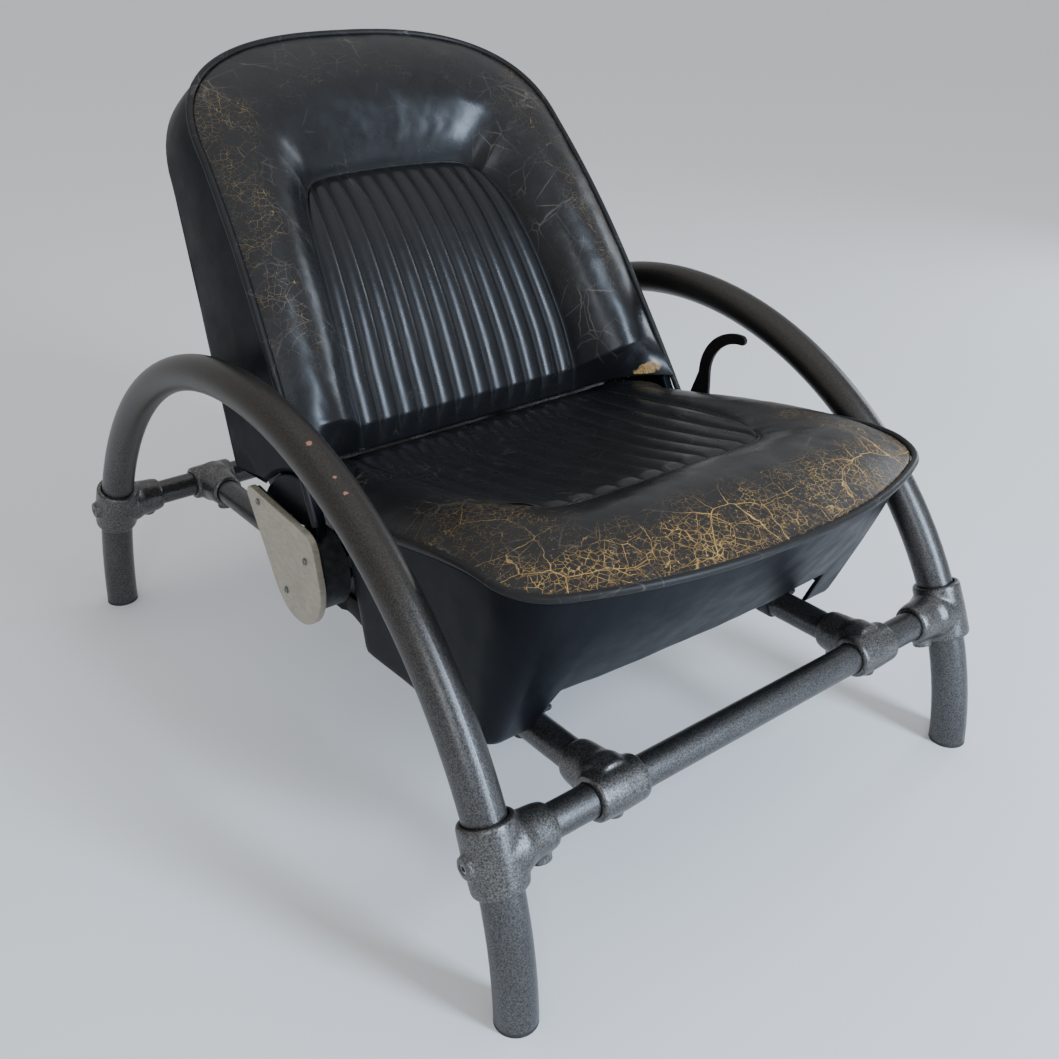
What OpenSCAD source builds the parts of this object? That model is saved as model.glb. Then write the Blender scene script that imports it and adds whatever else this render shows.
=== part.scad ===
// Reclining lounge chair: a leather car seat carried between two tubular arches.
// +X is the sitter's left, -Y the front, +Z up, and the floor is z = 0.

/* [Arches and tubes] */
// Centreline radius of the half-round side arches
arch_r = 477; // [470:1:484]
// Distance from the middle of the chair to each arch
arch_x = 334; // [332:1:350]
// Outside radius of the arch tubes
tube_r = 21.2; // [20:0.1:21.4]
// Wall of the arch tubes
tube_wall = 2.6; // [2:0.1:4]
// Outside radius of the cross tubes and rail tubes
bar_r = 16.85; // [15:0.05:17]
// Wall of the cross tubes and rail tubes
bar_wall = 2.6; // [2:0.1:4]
// Height of the cross tubes and rail tubes
bar_z = 167; // [160:1:168]
// Distance from the middle to each rail tube
rail_x = 192; // [186:1:196]

/* [Seat] */
// Half width of the seat over its piping
seat_half_w = 285; // [280:1:286]
// Foremost reach of the seat, from the middle of the chair
seat_front = 488; // [484:1:493]
// Slope of the seat, rise for each millimetre forwards
seat_slope = 0.1475; // [0.14:0.0005:0.15]
// Height of the fluted seat panel at the middle of the chair
seat_z = 346.6; // [345:0.1:348]

/* [Backrest] */
// Half width of the backrest at its foot
back_half_w = 285; // [282:1:286]
// Length of the backrest over its front, foot to top
back_len = 617; // [590:1:620]
// Depth of each flute
flute_h = 5; // [3:0.5:6]

/* [Recliner] */
// Position of the recline pivot along Y
pivot_y = -22; // [-24:1:-20]
// Height of the recline pivot
pivot_z = 247; // [246:1:248]
// Radius of the pivot bolts
pivot_r = 8; // [7:0.5:9]
// Radius of the release shaft
shaft_r = 5; // [4:0.5:5]

/* [Hidden] */

// Small distances
gap = 0.3;
fine = 96;

// Arches: the centre of each arch lies a little below the floor
arch_drop = 5;
plug_h = 4;
plug_stem = 14;
plug_stem_r = 17.5;
bar_y = sqrt(pow(arch_r, 2) - pow(bar_z + arch_drop, 2));
foot_y = sqrt(pow(arch_r, 2) - pow(arch_drop, 2));
arch_lean = asin((bar_z + arch_drop) / arch_r);

// Pipe fittings
tee_r = 28;
tee_len = 66;
tee_bore = 22.5;
branch_r = 23.5;
branch_bore = bar_r + gap;
tee_branch = 62;
tee_seat = 26.5;
rail_tee_len = 60;
rail_tee_branch = 58;
rail_tee_seat = 20.5;
set_r = 5;
set_gap = 0.05;
hex_r = 3;

// Recline arcs: the seat stays inside the first radius and the backrest outside the second
seat_arc = 111.2;
back_arc = 114.5;
crease_angle = 55;
wing_angle = 98;
arc_foot_angle = 24;

// Topology of both quilted forms
flutes = 12;
cols = 3 * flutes;
rows = 8;
rings = 5;
seam_n = 2 * rows + cols;
end_n = cols + 2 * rings;
loop_n = seam_n + end_n;

// Welt and upholstery offsets
welt_r = 3.5;
rim_in = 4.2;
rim_down = 4.6;
shell_wall = 5;
foam_in = 10.5;
foam_down = 3.9;

// X stations of the recliner, counted outwards from the middle
bracket_x = 241;
bracket_t = 6;
plate_x = 262;
plate_t = 4;
housing_x = 252.5;
housing_end = 283.6;
housing_r = 48;
housing_wall = 3;
hub_r = 14;
arm_x = 285;
arm_t = 5;
cover_x = 284.4;
cover_end = 298;
cover_wall = 1.6;
lever_x = 300.6;
lever_t = 5;
lever_end = 308;

// ---------------------------------------------------------------- helpers

function lerp(a, b, t) = a + (b - a) * t;
function clamp01(t) = max(0, min(1, t));
function smooth(t) = pow(clamp01(t), 2) * (3 - 2 * clamp01(t));
function on_arc(r, angle) = [pivot_y + r * cos(angle), pivot_z + r * sin(angle)];

// Draws its children with their XY plane standing in YZ and their Z axis along +X
module stand() {
    rotate([90, 0, 90])
        children();
}

// Mirrors its children to the sitter's right for side = -1
module on_side(side) {
    mirror([side < 0 ? 1 : 0, 0, 0])
        children();
}

module tube(r, wall, len) {
    difference() {
        cylinder(r = r, h = len, $fn = fine);
        translate([0, 0, -1])
            cylinder(r = r - wall, h = len + 2, $fn = fine);
    }
}

// Pin along +X from x0 to x1 at (y, z)
module x_pin(r, x0, x1, y, z) {
    translate([x0, y, z])
        rotate([0, 90, 0])
            cylinder(r = r, h = x1 - x0, $fn = 48);
}

// ---------------------------------------------------------------- tube frame

module arch_tube(side) {
    color("dimgray")
        translate([side * arch_x, 0, -arch_drop])
            difference() {
                stand()
                    rotate_extrude(angle = 180, $fn = fine)
                        translate([arch_r, 0])
                            difference() {
                                circle(r = tube_r, $fn = fine);
                                circle(r = tube_r - tube_wall, $fn = fine);
                            }
                translate([-arch_r, -2 * arch_r, -arch_r])
                    cube([2 * arch_r, 4 * arch_r, arch_r + arch_drop + plug_h]);
            }
}

module foot_plugs() {
    color("black")
        for (x = [-arch_x, arch_x], y = [-foot_y, foot_y])
            translate([x, y, 0]) {
                cylinder(r = tube_r, h = plug_h, $fn = fine);
                cylinder(r = plug_stem_r, h = plug_h + plug_stem, $fn = fine);
            }
}

module cross_tube(end) {
    reach = arch_x - tee_seat - 0.5;
    color("dimgray")
        translate([-reach, end * bar_y, bar_z])
            rotate([0, 90, 0])
                tube(bar_r, bar_wall, 2 * reach);
}

module rail_tube(side) {
    reach = bar_y - rail_tee_seat - 0.5;
    color("dimgray")
        translate([side * rail_x, reach, bar_z])
            rotate([90, 0, 0])
                tube(bar_r, bar_wall, 2 * reach);
}

// Sleeve of a cast fitting: a round body with a raised, eased collar at each end
module sleeve(r, len) {
    half = len / 2;
    ease = 3;
    collar = 13;
    rotate_extrude($fn = fine)
        polygon([
            [0, -half], [r - ease, -half], [r, -half + ease], [r, -half + collar],
            [r - 2, -half + collar + 3], [r - 2, half - collar - 3],
            [r, half - collar], [r, half - ease], [r - ease, half], [0, half]
        ]);
}

// Branch of a cast fitting along +Z: flared root, raised collar at the mouth
module branch(r, len, root) {
    flare = 8;
    collar = 15;
    rotate_extrude($fn = fine)
        polygon([
            [0, 0], [r + flare, 0], [r + flare, root - 6], [r + 2, root + 2], [r - 1.5, root + 8],
            [r - 1.5, len - collar], [r, len - collar + 3], [r, len - 2.5], [r - 2.5, len], [0, len]
        ]);
}

// Local frame of a corner tee: sleeve along Z, branch along -X
module corner_tee(side, end) {
    boss_r = 11;
    color("dimgray")
        translate([side * arch_x, end * bar_y, bar_z])
            rotate([end * arch_lean, 0, 0])
                on_side(side)
                    difference() {
                        union() {
                            sleeve(tee_r, tee_len);
                            intersection() {
                                rotate([0, -90, 0])
                                    branch(branch_r, tee_branch, tee_r);
                                translate([-2 * tee_branch, -tee_len, -tee_len / 2 + 1])
                                    cube([4 * tee_branch, 2 * tee_len, tee_len - 2]);
                            }
                            x_pin(boss_r, 0, tee_r + 5, 0, 0);
                            translate([-46, 0, -branch_r - 6])
                                cylinder(r = boss_r, h = branch_r, $fn = 48);
                        }
                        cylinder(r = tee_bore, h = 2 * tee_len, center = true, $fn = fine);
                        translate([-tee_seat, 0, 0])
                            rotate([0, -90, 0])
                                cylinder(r = branch_bore, h = tee_branch, $fn = fine);
                        x_pin(set_r + set_gap, 0, tee_r + 10, 0, 0);
                        translate([-46, 0, -branch_r - 10])
                            cylinder(r = set_r + set_gap, h = branch_r + 10, $fn = 48);
                    }
}

// Local frame of a rail tee: sleeve along X, branch along +Y
module rail_tee(side, end) {
    boss_r = 11;
    color("dimgray")
        translate([side * rail_x, end * bar_y, bar_z])
            mirror([0, end > 0 ? 1 : 0, 0])
                difference() {
                    union() {
                        rotate([0, 90, 0])
                            sleeve(branch_r, rail_tee_len);
                        intersection() {
                            rotate([-90, 0, 0])
                                branch(branch_r, rail_tee_branch, branch_r);
                            translate([-rail_tee_len / 2 + 1, -rail_tee_len, -rail_tee_len])
                                cube([rail_tee_len - 2, 3 * rail_tee_len, 2 * rail_tee_len]);
                        }
                        for (y = [0, 42])
                            translate([0, y, -branch_r - 6])
                                cylinder(r = boss_r, h = branch_r, $fn = 48);
                    }
                    translate([-rail_tee_len, 0, 0])
                        rotate([0, 90, 0])
                            cylinder(r = branch_bore, h = 2 * rail_tee_len, $fn = fine);
                    translate([0, rail_tee_seat, 0])
                        rotate([-90, 0, 0])
                            cylinder(r = branch_bore, h = rail_tee_len, $fn = fine);
                    for (y = [0, 42])
                        translate([0, y, -branch_r - 10])
                            cylinder(r = set_r + set_gap, h = branch_r + 10, $fn = 48);
                }
}

// Socket set screw along +Z, its point at z = 0
module set_screw(len) {
    difference() {
        cylinder(r = set_r, h = len, $fn = 48);
        translate([0, 0, len - 4])
            cylinder(r = hex_r, h = 5, $fn = 6);
    }
}

module set_screws() {
    color("gray")
        for (side = [-1, 1], end = [-1, 1]) {
            translate([side * arch_x, end * bar_y, bar_z])
                rotate([end * arch_lean, 0, 0])
                    on_side(side) {
                        translate([tube_r + set_gap, 0, 0])
                            rotate([0, 90, 0])
                                set_screw(11);
                        translate([-46, 0, -bar_r - set_gap])
                            rotate([180, 0, 0])
                                set_screw(11);
                    }
            translate([side * rail_x, end * bar_y, bar_z])
                mirror([0, end > 0 ? 1 : 0, 0])
                    for (y = [0, 42])
                        translate([0, y, -bar_r - set_gap])
                            rotate([180, 0, 0])
                                set_screw(11);
        }
}

// ---------------------------------------------------------------- seat carcass

frame_t = 15;
frame_w = 26;
frame_in = rail_x - frame_w / 2;
frame_front = 372;
frame_rear = 42;
frame_lean = atan(seat_slope);
frame_top = seat_z - 81;
web_t = 2;
bolt_r = 4;
bolt_play = 0.1;
bracket_bolt_at = [[-69, 267.5], [6.5, 257]];

// Bore along X at place p
module x_bore(r, p) {
    x_pin(r, 150, 330, p[0], p[1]);
}

// Puts its children in the plane of the seat frame's top: X across, Y to the rear
module frame_plane() {
    translate([0, 0, frame_top])
        rotate([-frame_lean, 0, 0])
            children();
}

module seat_frame() {
    length = frame_front + frame_rear;
    color("darkslategray")
        difference() {
            frame_plane()
                translate([0, 0, -frame_t]) {
                    for (side = [0, 1])
                        mirror([side, 0, 0])
                            translate([frame_in, -frame_front, 0])
                                cube([frame_w, length, frame_t]);
                    for (y = [-frame_front, frame_rear - frame_w])
                        translate([-frame_in - 1, y, 0])
                            cube([2 * frame_in + 2, frame_w, frame_t]);
                }
            for (side = [-1, 1], p = bracket_bolt_at)
                on_side(side)
                    x_bore(bolt_r + bolt_play, p);
        }
}

module seat_webbing() {
    strap_w = 48;
    reach = frame_in + 8;
    color("black")
        frame_plane()
            for (i = [0 : 4])
                translate([-reach, -330 + 64 * i, 0.1])
                    cube([2 * reach, strap_w, web_t]);
}

pedestal_w = 34;
pedestal_d = 40;
pedestal_wall = 3;
flange_w = 62;
flange_d = 28;
flange_t = 4;
front_ped_y = -300;
rear_ped_y = 9;
ear_z = bar_z + 3;

// Box-section pedestal with a saddle and a flange, between a rail tube and the seat frame
module pedestal(side, y) {
    color("darkslategray")
        difference() {
            translate([side * rail_x, y, ear_z]) {
                translate([-pedestal_w / 2, -pedestal_d / 2, 0])
                    cube([pedestal_w, pedestal_d, 200]);
                translate([-flange_w / 2, -flange_d / 2, 0])
                    cube([flange_w, flange_d, flange_t]);
            }
            translate([side * rail_x - pedestal_w / 2 + pedestal_wall,
                       y - pedestal_d / 2 + pedestal_wall, bar_z + bar_r + 4])
                cube([pedestal_w - 2 * pedestal_wall, pedestal_d - 2 * pedestal_wall, 200]);
            translate([side * rail_x, y + pedestal_d, bar_z])
                rotate([90, 0, 0])
                    cylinder(r = bar_r + bolt_play, h = 2 * pedestal_d, $fn = fine);
            strap_bolt_places(side, y)
                cylinder(r = strap_bolt_r + bolt_play, h = 40, center = true, $fn = 32);
            frame_plane()
                translate([-300, -500, -frame_t - 0.05])
                    cube([600, 1000, 400]);
        }
}

module front_pedestals() {
    for (side = [-1, 1])
        pedestal(side, front_ped_y);
}

module rear_pedestals() {
    for (side = [-1, 1])
        pedestal(side, rear_ped_y);
}

strap_wide = 24;
strap_thick = 3;
strap_bolt_r = 2.5;
strap_bolt_x = 25;

module strap_bolt_places(side, y) {
    for (s = [-1, 1])
        translate([side * rail_x + s * strap_bolt_x, y, ear_z])
            children();
}

// Half clamp under a rail tube, its ears bolted up against the pedestal's flange
module pipe_straps() {
    color("darkslategray")
        for (side = [-1, 1], y = [front_ped_y, rear_ped_y])
            difference() {
                translate([side * rail_x, y, bar_z])
                    rotate([90, 0, 0])
                        difference() {
                            union() {
                                cylinder(r = bar_r + strap_thick + bolt_play, h = strap_wide,
                                         center = true, $fn = fine);
                                translate([-flange_w / 2, 0, -strap_wide / 2])
                                    cube([flange_w, strap_thick - 0.05, strap_wide]);
                            }
                            cylinder(r = bar_r + bolt_play, h = strap_wide + 2, center = true,
                                     $fn = fine);
                            translate([-flange_w, strap_thick - 0.05, -strap_wide])
                                cube([2 * flange_w, flange_w, 2 * strap_wide]);
                        }
                strap_bolt_places(side, y)
                    cylinder(r = strap_bolt_r + bolt_play, h = 40, center = true, $fn = 32);
            }
}

// Bolts and nuts of the pipe straps
module strap_bolts() {
    head = 4;
    color("silver")
        for (side = [-1, 1], y = [front_ped_y, rear_ped_y])
            strap_bolt_places(side, y) {
                translate([0, 0, -strap_thick - head])
                    cylinder(r = 4.6, h = head - 0.05, $fn = 6);
                translate([0, 0, -strap_thick - 0.1])
                    cylinder(r = strap_bolt_r, h = strap_thick + flange_t + 5, $fn = 32);
                translate([0, 0, flange_t + 0.05])
                    cylinder(r = 4.6, h = head, $fn = 6);
            }
}

// ---------------------------------------------------------------- seat outline

side_slope_y = -37;
corner_r = 73;
corner_x = seat_half_w - corner_r;
bow_r = 592;
bow_y = bow_r - seat_front;
bow_angle = asin(corner_x / (bow_r - corner_r));
corner_y = bow_y - (bow_r - corner_r) * cos(bow_angle);
notch_w = 35;

// Half width of the seat over its piping: narrower at the rear, between the hinge covers
function seat_side(y) = seat_half_w - notch_w * (1 - smooth((-y - 80) / 35));

// Height of the seat piping
function seat_welt_z(y) =
    345 + 45 * smooth((-y - 60) / 320) - 5 * smooth((-y - 340) / 90);

// Point of the seat outline, drawn in by e: t = 0 at the rear of a side, 1 at mid front
function seat_outline(t, e) =
    let (turn = 0.5, straight = 0.62, y = lerp(side_slope_y, corner_y, t / turn))
    let (phi = t < straight
        ? lerp(90, bow_angle, (t - turn) / (straight - turn))
        : lerp(bow_angle, 0, (t - straight) / (1 - straight)))
    t < turn ? [seat_side(y) - e, y]
    : t < straight ? [corner_x + (corner_r - e) * sin(phi), corner_y - (corner_r - e) * cos(phi)]
    : [(bow_r - e) * sin(phi), bow_y - (bow_r - e) * cos(phi)];

// ---------------------------------------------------------------- quilted forms

// Counts along one half of the seam around a fluted panel
function half_k(k) = min(k, seam_n - k);
function side_k(k) = k < seam_n / 2 ? -1 : 1;

// Share of the way along an outline for seam point k, when its corner lies at share c
function outline_t(k, start, c) =
    half_k(k) <= rows
    ? lerp(start, c, half_k(k) / rows)
    : lerp(c, 1, (half_k(k) - rows) / (cols / 2));

function panel_id(i, j) = i * (rows + 1) + j;
function seam_i(k) = k <= rows ? 0 : k <= rows + cols ? k - rows : cols;
function seam_j(k) = k <= rows ? k : k <= rows + cols ? rows : seam_n - k;
ring_base = (cols + 1) * (rows + 1);
wall_base = ring_base + rings * (seam_n + 1);
function ring_id(k, r) =
    r == 0 ? panel_id(seam_i(k), seam_j(k)) : ring_base + (r - 1) * (seam_n + 1) + k;
function end_id(q) =
    q <= rings ? ring_id(0, rings - q)
    : q <= rings + cols ? panel_id(q - rings, 0)
    : ring_id(seam_n, q - rings - cols);
function wall_id(l, v) =
    v > 0 ? wall_base + (v - 1) * loop_n + l % loop_n
    : l % loop_n <= seam_n ? ring_id(l % loop_n, rings)
    : end_id(loop_n - l % loop_n);

function quad(a, b, c, d) = [[a, b, c], [a, c, d]];
function turned(list, flip) = flip ? [for (f = list) [f[2], f[1], f[0]]] : list;

// Closed cushion: panel(i, j) is its fluted panel, ring(k, r) the roll around it,
// side(k, v) and foot(q, v) its walls at levels 1 to levels, and middle closes its back
module quilted(panel, ring, side, foot, levels, middle, flip) {
    points = [
        for (i = [0 : cols], j = [0 : rows]) panel(i, j),
        for (r = [1 : rings], k = [0 : seam_n]) ring(k, r),
        for (v = [1 : levels], l = [0 : loop_n - 1]) l <= seam_n ? side(l, v) : foot(loop_n - l, v),
        middle
    ];
    last = len(points) - 1;
    faces = [
        for (i = [0 : cols - 1], j = [0 : rows - 1])
            each quad(panel_id(i, j), panel_id(i + 1, j), panel_id(i + 1, j + 1), panel_id(i, j + 1)),
        for (k = [0 : seam_n - 1], r = [0 : rings - 1])
            each quad(ring_id(k, r), ring_id(k + 1, r), ring_id(k + 1, r + 1), ring_id(k, r + 1)),
        for (v = [0 : levels - 1], l = [0 : loop_n - 1])
            each quad(wall_id(l, v), wall_id(l + 1, v), wall_id(l + 1, v + 1), wall_id(l, v + 1)),
        for (l = [0 : loop_n - 1]) [wall_id(l, levels), wall_id(l + 1, levels), last]
    ];
    polyhedron(points, turned(faces, flip), convexity = 6);
}

// Rise of the flutes across a panel: low at each seam, high between
function flute(i) = i % 3 == 0 ? 0 : flute_h;

// Tube of 8 sides along a path of points
module welt(path, r) {
    sides = 8;
    n = len(path);
    ring_pts = [
        for (i = [0 : n - 1])
            let (a = path[max(0, i - 1)], b = path[min(n - 1, i + 1)])
            let (t = (b - a) / norm(b - a))
            let (ref = abs(t[2]) > 0.95 ? [0, 1, 0] : [0, 0, 1])
            let (u = cross(ref, t) / norm(cross(ref, t)))
            let (w = cross(t, u))
            for (s = [0 : sides - 1])
                path[i] + r * (cos(360 * s / sides) * u + sin(360 * s / sides) * w)
    ];
    faces = [
        for (i = [0 : n - 2], s = [0 : sides - 1])
            let (s2 = (s + 1) % sides)
            each quad(i * sides + s, (i + 1) * sides + s, (i + 1) * sides + s2, i * sides + s2),
        [for (s = [0 : sides - 1]) s],
        [for (s = [0 : sides - 1]) (n - 1) * sides + sides - 1 - s]
    ];
    polyhedron(ring_pts, faces, convexity = 10);
}

// ---------------------------------------------------------------- seat cushion

seat_insert_w = 190;
seat_insert_front = 309;
seat_levels = 4;
seat_corner_t = 0.57;
foam_under = seat_z - 78;

function seat_foam_z(y) = foam_under - seat_slope * y;

// Fluted panel of the seat
function seat_panel(i, j) =
    let (p = 2 * i / cols - 1, q = (j - 1) / (rows - 1), c = on_arc(seat_arc, crease_angle))
    let (y = 12 - q * (seat_insert_front + 12 - 6 * p * p - 34 * pow(p, 8) * pow(max(q, 0), 4)))
    let (x = seat_insert_w * p * (1 - 0.16 * pow(max(q, 0), 6) * pow(p, 6)))
    j == 0 ? [seat_insert_w * p, c[0], c[1]]
    : [x, y, seat_z - seat_slope * y + (j == rows ? 0 : flute(i))];

// Roll around the panel, out to the piping
function seat_ring(k, r) =
    let (f = r / rings, h = half_k(k), s = seat_panel(seam_i(k), seam_j(k)))
    let (o = seat_outline(outline_t(k, 0, seat_corner_t), rim_in))
    let (a = on_arc(seat_arc, lerp(crease_angle, wing_angle, f)))
    let (crown = h <= rows ? lerp(10, 22, h / rows) : lerp(22, 27, (h - rows) / (cols / 2)))
    let (bulge = crown * sin(180 * pow(f, 0.85)))
    h == 0 ? [lerp(s[0], side_k(k) * o[0], f), a[0], a[1]]
    : [lerp(s[0], side_k(k) * o[0], f), lerp(s[1], o[1], f), lerp(s[2], seat_welt_z(o[1]), f) + bulge];

// Outline of the seat's base where it is lowest, for the taper of its sides
base_low_z = 176;
base_half_w = 265;
base_rear_w = 246;
base_front = 341;
base_corner_r = 24;
base_bow_r = 20000;
base_corner_x = base_half_w - base_corner_r;
base_bow_y = base_bow_r - base_front;
base_bow_angle = asin(base_corner_x / (base_bow_r - base_corner_r));
base_corner_y = base_bow_y - (base_bow_r - base_corner_r) * cos(base_bow_angle);
function base_outline(t, e) =
    let (turn = 0.5, straight = 0.62, y = lerp(side_slope_y, base_corner_y, t / turn))
    let (phi = t < straight
        ? lerp(90, base_bow_angle, (t - turn) / (straight - turn))
        : lerp(base_bow_angle, 0, (t - straight) / (1 - straight)))
    let (w = lerp(base_rear_w, base_half_w, smooth((-y - 80) / 35)))
    t < turn ? [w - e, y]
    : t < straight
    ? [base_corner_x + (base_corner_r - e) * sin(phi), base_corner_y - (base_corner_r - e) * cos(phi)]
    : [(base_bow_r - e) * sin(phi), base_bow_y - (base_bow_r - e) * cos(phi)];

// Point of the tapered seat side at height z, drawn in by e
function seat_taper(t, e, z) =
    let (a = seat_outline(t, e), b = base_outline(t, e))
    let (f = clamp01((seat_welt_z(a[1]) - z) / (seat_welt_z(a[1]) - base_low_z)))
    lerp(a, b, f);

function seat_side_wall(k, v) =
    let (t = outline_t(k, 0, seat_corner_t), s = side_k(k))
    let (o = seat_outline(t, rim_in), z = seat_welt_z(o[1]))
    let (rim = seat_taper(t, foam_in, z - foam_down))
    let (low = seat_taper(t, foam_in + 3, seat_foam_z(o[1]) - 16))
    let (f = (v - 1) / (seat_levels - 1))
    let (a = on_arc(seat_arc, lerp(wing_angle, 8, v / seat_levels)))
    half_k(k) == 0 ? [s * (o[0] - foam_in + rim_in), a[0], a[1]]
    : [s * lerp(rim[0], low[0], f), lerp(rim[1], low[1], f),
       lerp(z - foam_down, seat_foam_z(low[1]), f)];

function seat_foot(q, v) =
    let (e = wall_start(q), f = e[0], side = e[1], x = e[2])
    let (o = seat_outline(0, rim_in))
    let (a = on_arc(seat_arc, lerp(lerp(crease_angle, wing_angle, f), 8, v / seat_levels)))
    let (x0 = f > 0 ? side * lerp(seat_insert_w, o[0], f) : seat_insert_w * x)
    [x0 * (o[0] - foam_in + rim_in) / o[0], a[0], a[1]];

// For end point q: share of the way out along the roll, its side, and its place on the panel
function wall_start(q) =
    q < rings ? [(rings - q) / rings, -1, 0]
    : q <= rings + cols ? [0, 0, 2 * (q - rings) / cols - 1]
    : [(q - rings - cols) / rings, 1, 0];

module seat_cushion() {
    y = -200;
    color("#241d19")
        quilted(
            function(i, j) seat_panel(i, j),
            function(k, r) seat_ring(k, r),
            function(k, v) seat_side_wall(k, v),
            function(q, v) seat_foot(q, v),
            seat_levels, [0, y, seat_foam_z(y)], false
        );
}

seat_welt_n = 26;

module seat_piping() {
    half = [
        for (i = [0 : seat_welt_n])
            let (t = lerp(0.02, 1, i / seat_welt_n), o = seat_outline(t, 0))
            [o[0], o[1], seat_welt_z(o[1])]
    ];
    color("#15130f")
        welt([
            for (i = [0 : seat_welt_n]) half[i],
            for (i = [seat_welt_n - 1 : -1 : 0]) [-half[i][0], half[i][1], half[i][2]]
        ], welt_r);
}

// ---------------------------------------------------------------- seat base shell

shell_rear_y = 56;
shell_rear_top = 211;
shell_rear_low = 186;
apron_z = 232;
apron_half_w = 204;
shell_rear_n = 2;
shell_back_n = 5;
shell_side_n = seam_n / 2;
shell_half_n = shell_rear_n + shell_back_n + shell_side_n;

// Place of loop point i: [share of the outline, x limit, y], with t < 0 behind the sides
function shell_place(i) =
    i < shell_rear_n ? [-1, i / shell_rear_n, shell_rear_y]
    : i < shell_rear_n + shell_back_n
    ? [-1, 1, lerp(shell_rear_y, side_slope_y, (i - shell_rear_n) / shell_back_n)]
    : [outline_t(i - shell_rear_n - shell_back_n, 0, seat_corner_t), 1, 0];

// Outer point of the shell at loop point i, drawn in by e; lower = 0 top, 1 middle, 2 bottom
function shell_half(i, e, lower) =
    let (p = shell_place(i), behind = p[0] < 0, t = max(p[0], 0))
    let (rear_x = lerp(seat_half_w - notch_w - rim_in, base_rear_w, 0.8) - e + rim_in)
    let (o = seat_outline(t, rim_in), b = base_outline(t, 0))
    let (low = !behind && abs(b[0]) < apron_half_w && t > 0.5 ? apron_z
         : behind ? shell_rear_low
         : lerp(shell_rear_low, base_low_z, smooth((-b[1] - 45) / 50)))
    let (high = behind ? shell_rear_top
         : lerp(shell_rear_top, seat_welt_z(o[1]) - rim_down, smooth((-o[1] - 86) / 14)))
    let (z = lower == 0 ? high : lower == 1 ? (high + low) / 2 : low)
    let (q = seat_taper(t, e, z))
    let (y_in = p[2] > shell_rear_y - 1 ? shell_rear_y - e + rim_in : p[2])
    behind ? [rear_x * p[1], y_in, z] : [q[0], q[1], z];

function shell_loop(e, lower) = [
    for (i = [0 : shell_half_n]) shell_half(i, e, lower),
    for (i = [shell_half_n - 1 : -1 : 1])
        let (p = shell_half(i, e, lower))
        [-p[0], p[1], p[2]]
];

// Upholstered shell under the cushion: a closed band, deeper at the sides than in front
module seat_base_shell() {
    inner = rim_in + shell_wall;
    loops = [shell_loop(rim_in, 0), shell_loop(rim_in, 1), shell_loop(rim_in, 2),
             shell_loop(inner, 2), shell_loop(inner, 0)];
    n = len(loops[0]);
    m = len(loops);
    color("#0f1013")
        polyhedron(
            [for (loop = loops) each loop],
            [for (v = [0 : m - 1], i = [0 : n - 1])
                let (i2 = (i + 1) % n, v2 = (v + 1) % m)
                each quad(v * n + i, v2 * n + i, v2 * n + i2, v * n + i2)],
            convexity = 8
        );
}

// ---------------------------------------------------------------- backrest

back_start = [-50, 325];
lean_low = 30;
lean_mid = 34.5;
lean_top = 50;
back_bend = 240;
back_bend_end = 545;
low_bend_r = back_bend / (lean_mid - lean_low) * 180 / PI;
top_bend_r = (back_bend_end - back_bend) / (lean_top - lean_mid) * 180 / PI;
mid_y = back_start[0] + low_bend_r * (cos(lean_low) - cos(lean_mid));
mid_z = back_start[1] + low_bend_r * (sin(lean_mid) - sin(lean_low));

// Lean of the backrest's front at length s up its side piping
function back_lean(s) =
    s < back_bend ? lerp(lean_low, lean_mid, s / back_bend)
    : lerp(lean_mid, lean_top, (s - back_bend) / (back_bend_end - back_bend));

// Point at x, at length s up the piping, and d proud of it towards the sitter
function back_point(x, s, d) =
    let (a = back_lean(s))
    let (y = s < back_bend
        ? back_start[0] + low_bend_r * (cos(lean_low) - cos(a))
        : mid_y + top_bend_r * (cos(lean_mid) - cos(a)))
    let (z = s < back_bend
        ? back_start[1] + low_bend_r * (sin(a) - sin(lean_low))
        : mid_z + top_bend_r * (sin(a) - sin(lean_mid)))
    [x, y - d * cos(a), z + d * sin(a)];

back_shoulder = 431;
back_shoulder_t = 0.56;
back_t0 = 0.052;
back_corner_t = 0.66;
back_taper = 0.05;
shoulder_power = 0.8;

// Outline of the backrest's front as [x, s], drawn in by e: t = 0 at the foot, 1 at mid top
function back_outline(t, e) =
    let (s = t / back_shoulder_t * back_shoulder)
    let (phi = 90 * clamp01((t - back_shoulder_t) / (1 - back_shoulder_t)))
    t < back_shoulder_t ? [back_half_w - back_taper * s - e, s]
    : [(back_half_w - back_taper * back_shoulder - e) * pow(cos(phi), shoulder_power),
       back_shoulder + (back_len - back_shoulder - e) * pow(sin(phi), shoulder_power)];

// Plane of the backrest's rear and its outline in that plane
rear_foot = [143.6, 318];
rear_lean = 26;
rear_shoulder = 350;
rear_len = 512;
rear_half_w = 282;
rear_taper = 0.055;
function rear_outline(t, e) =
    let (w = rear_shoulder * (t - back_t0) / (back_shoulder_t - back_t0))
    let (phi = 90 * clamp01((t - back_shoulder_t) / (1 - back_shoulder_t)))
    t < back_shoulder_t ? [rear_half_w - rear_taper * w - e, w]
    : [(rear_half_w - rear_taper * rear_shoulder - e) * pow(cos(phi), shoulder_power),
       rear_shoulder + (rear_len - rear_shoulder - e) * pow(sin(phi), shoulder_power)];
function rear_point(x, w, off) =
    [x, rear_foot[0] + w * sin(rear_lean) - off, rear_foot[1] + w * cos(rear_lean)];

back_levels = 5;
back_insert_w = 167;
back_insert_low = 90;
back_insert_top = 426;
frame_space = 31;
foam_inset = 24;
shoulder_crown = 22;
side_crown = 21;

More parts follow.
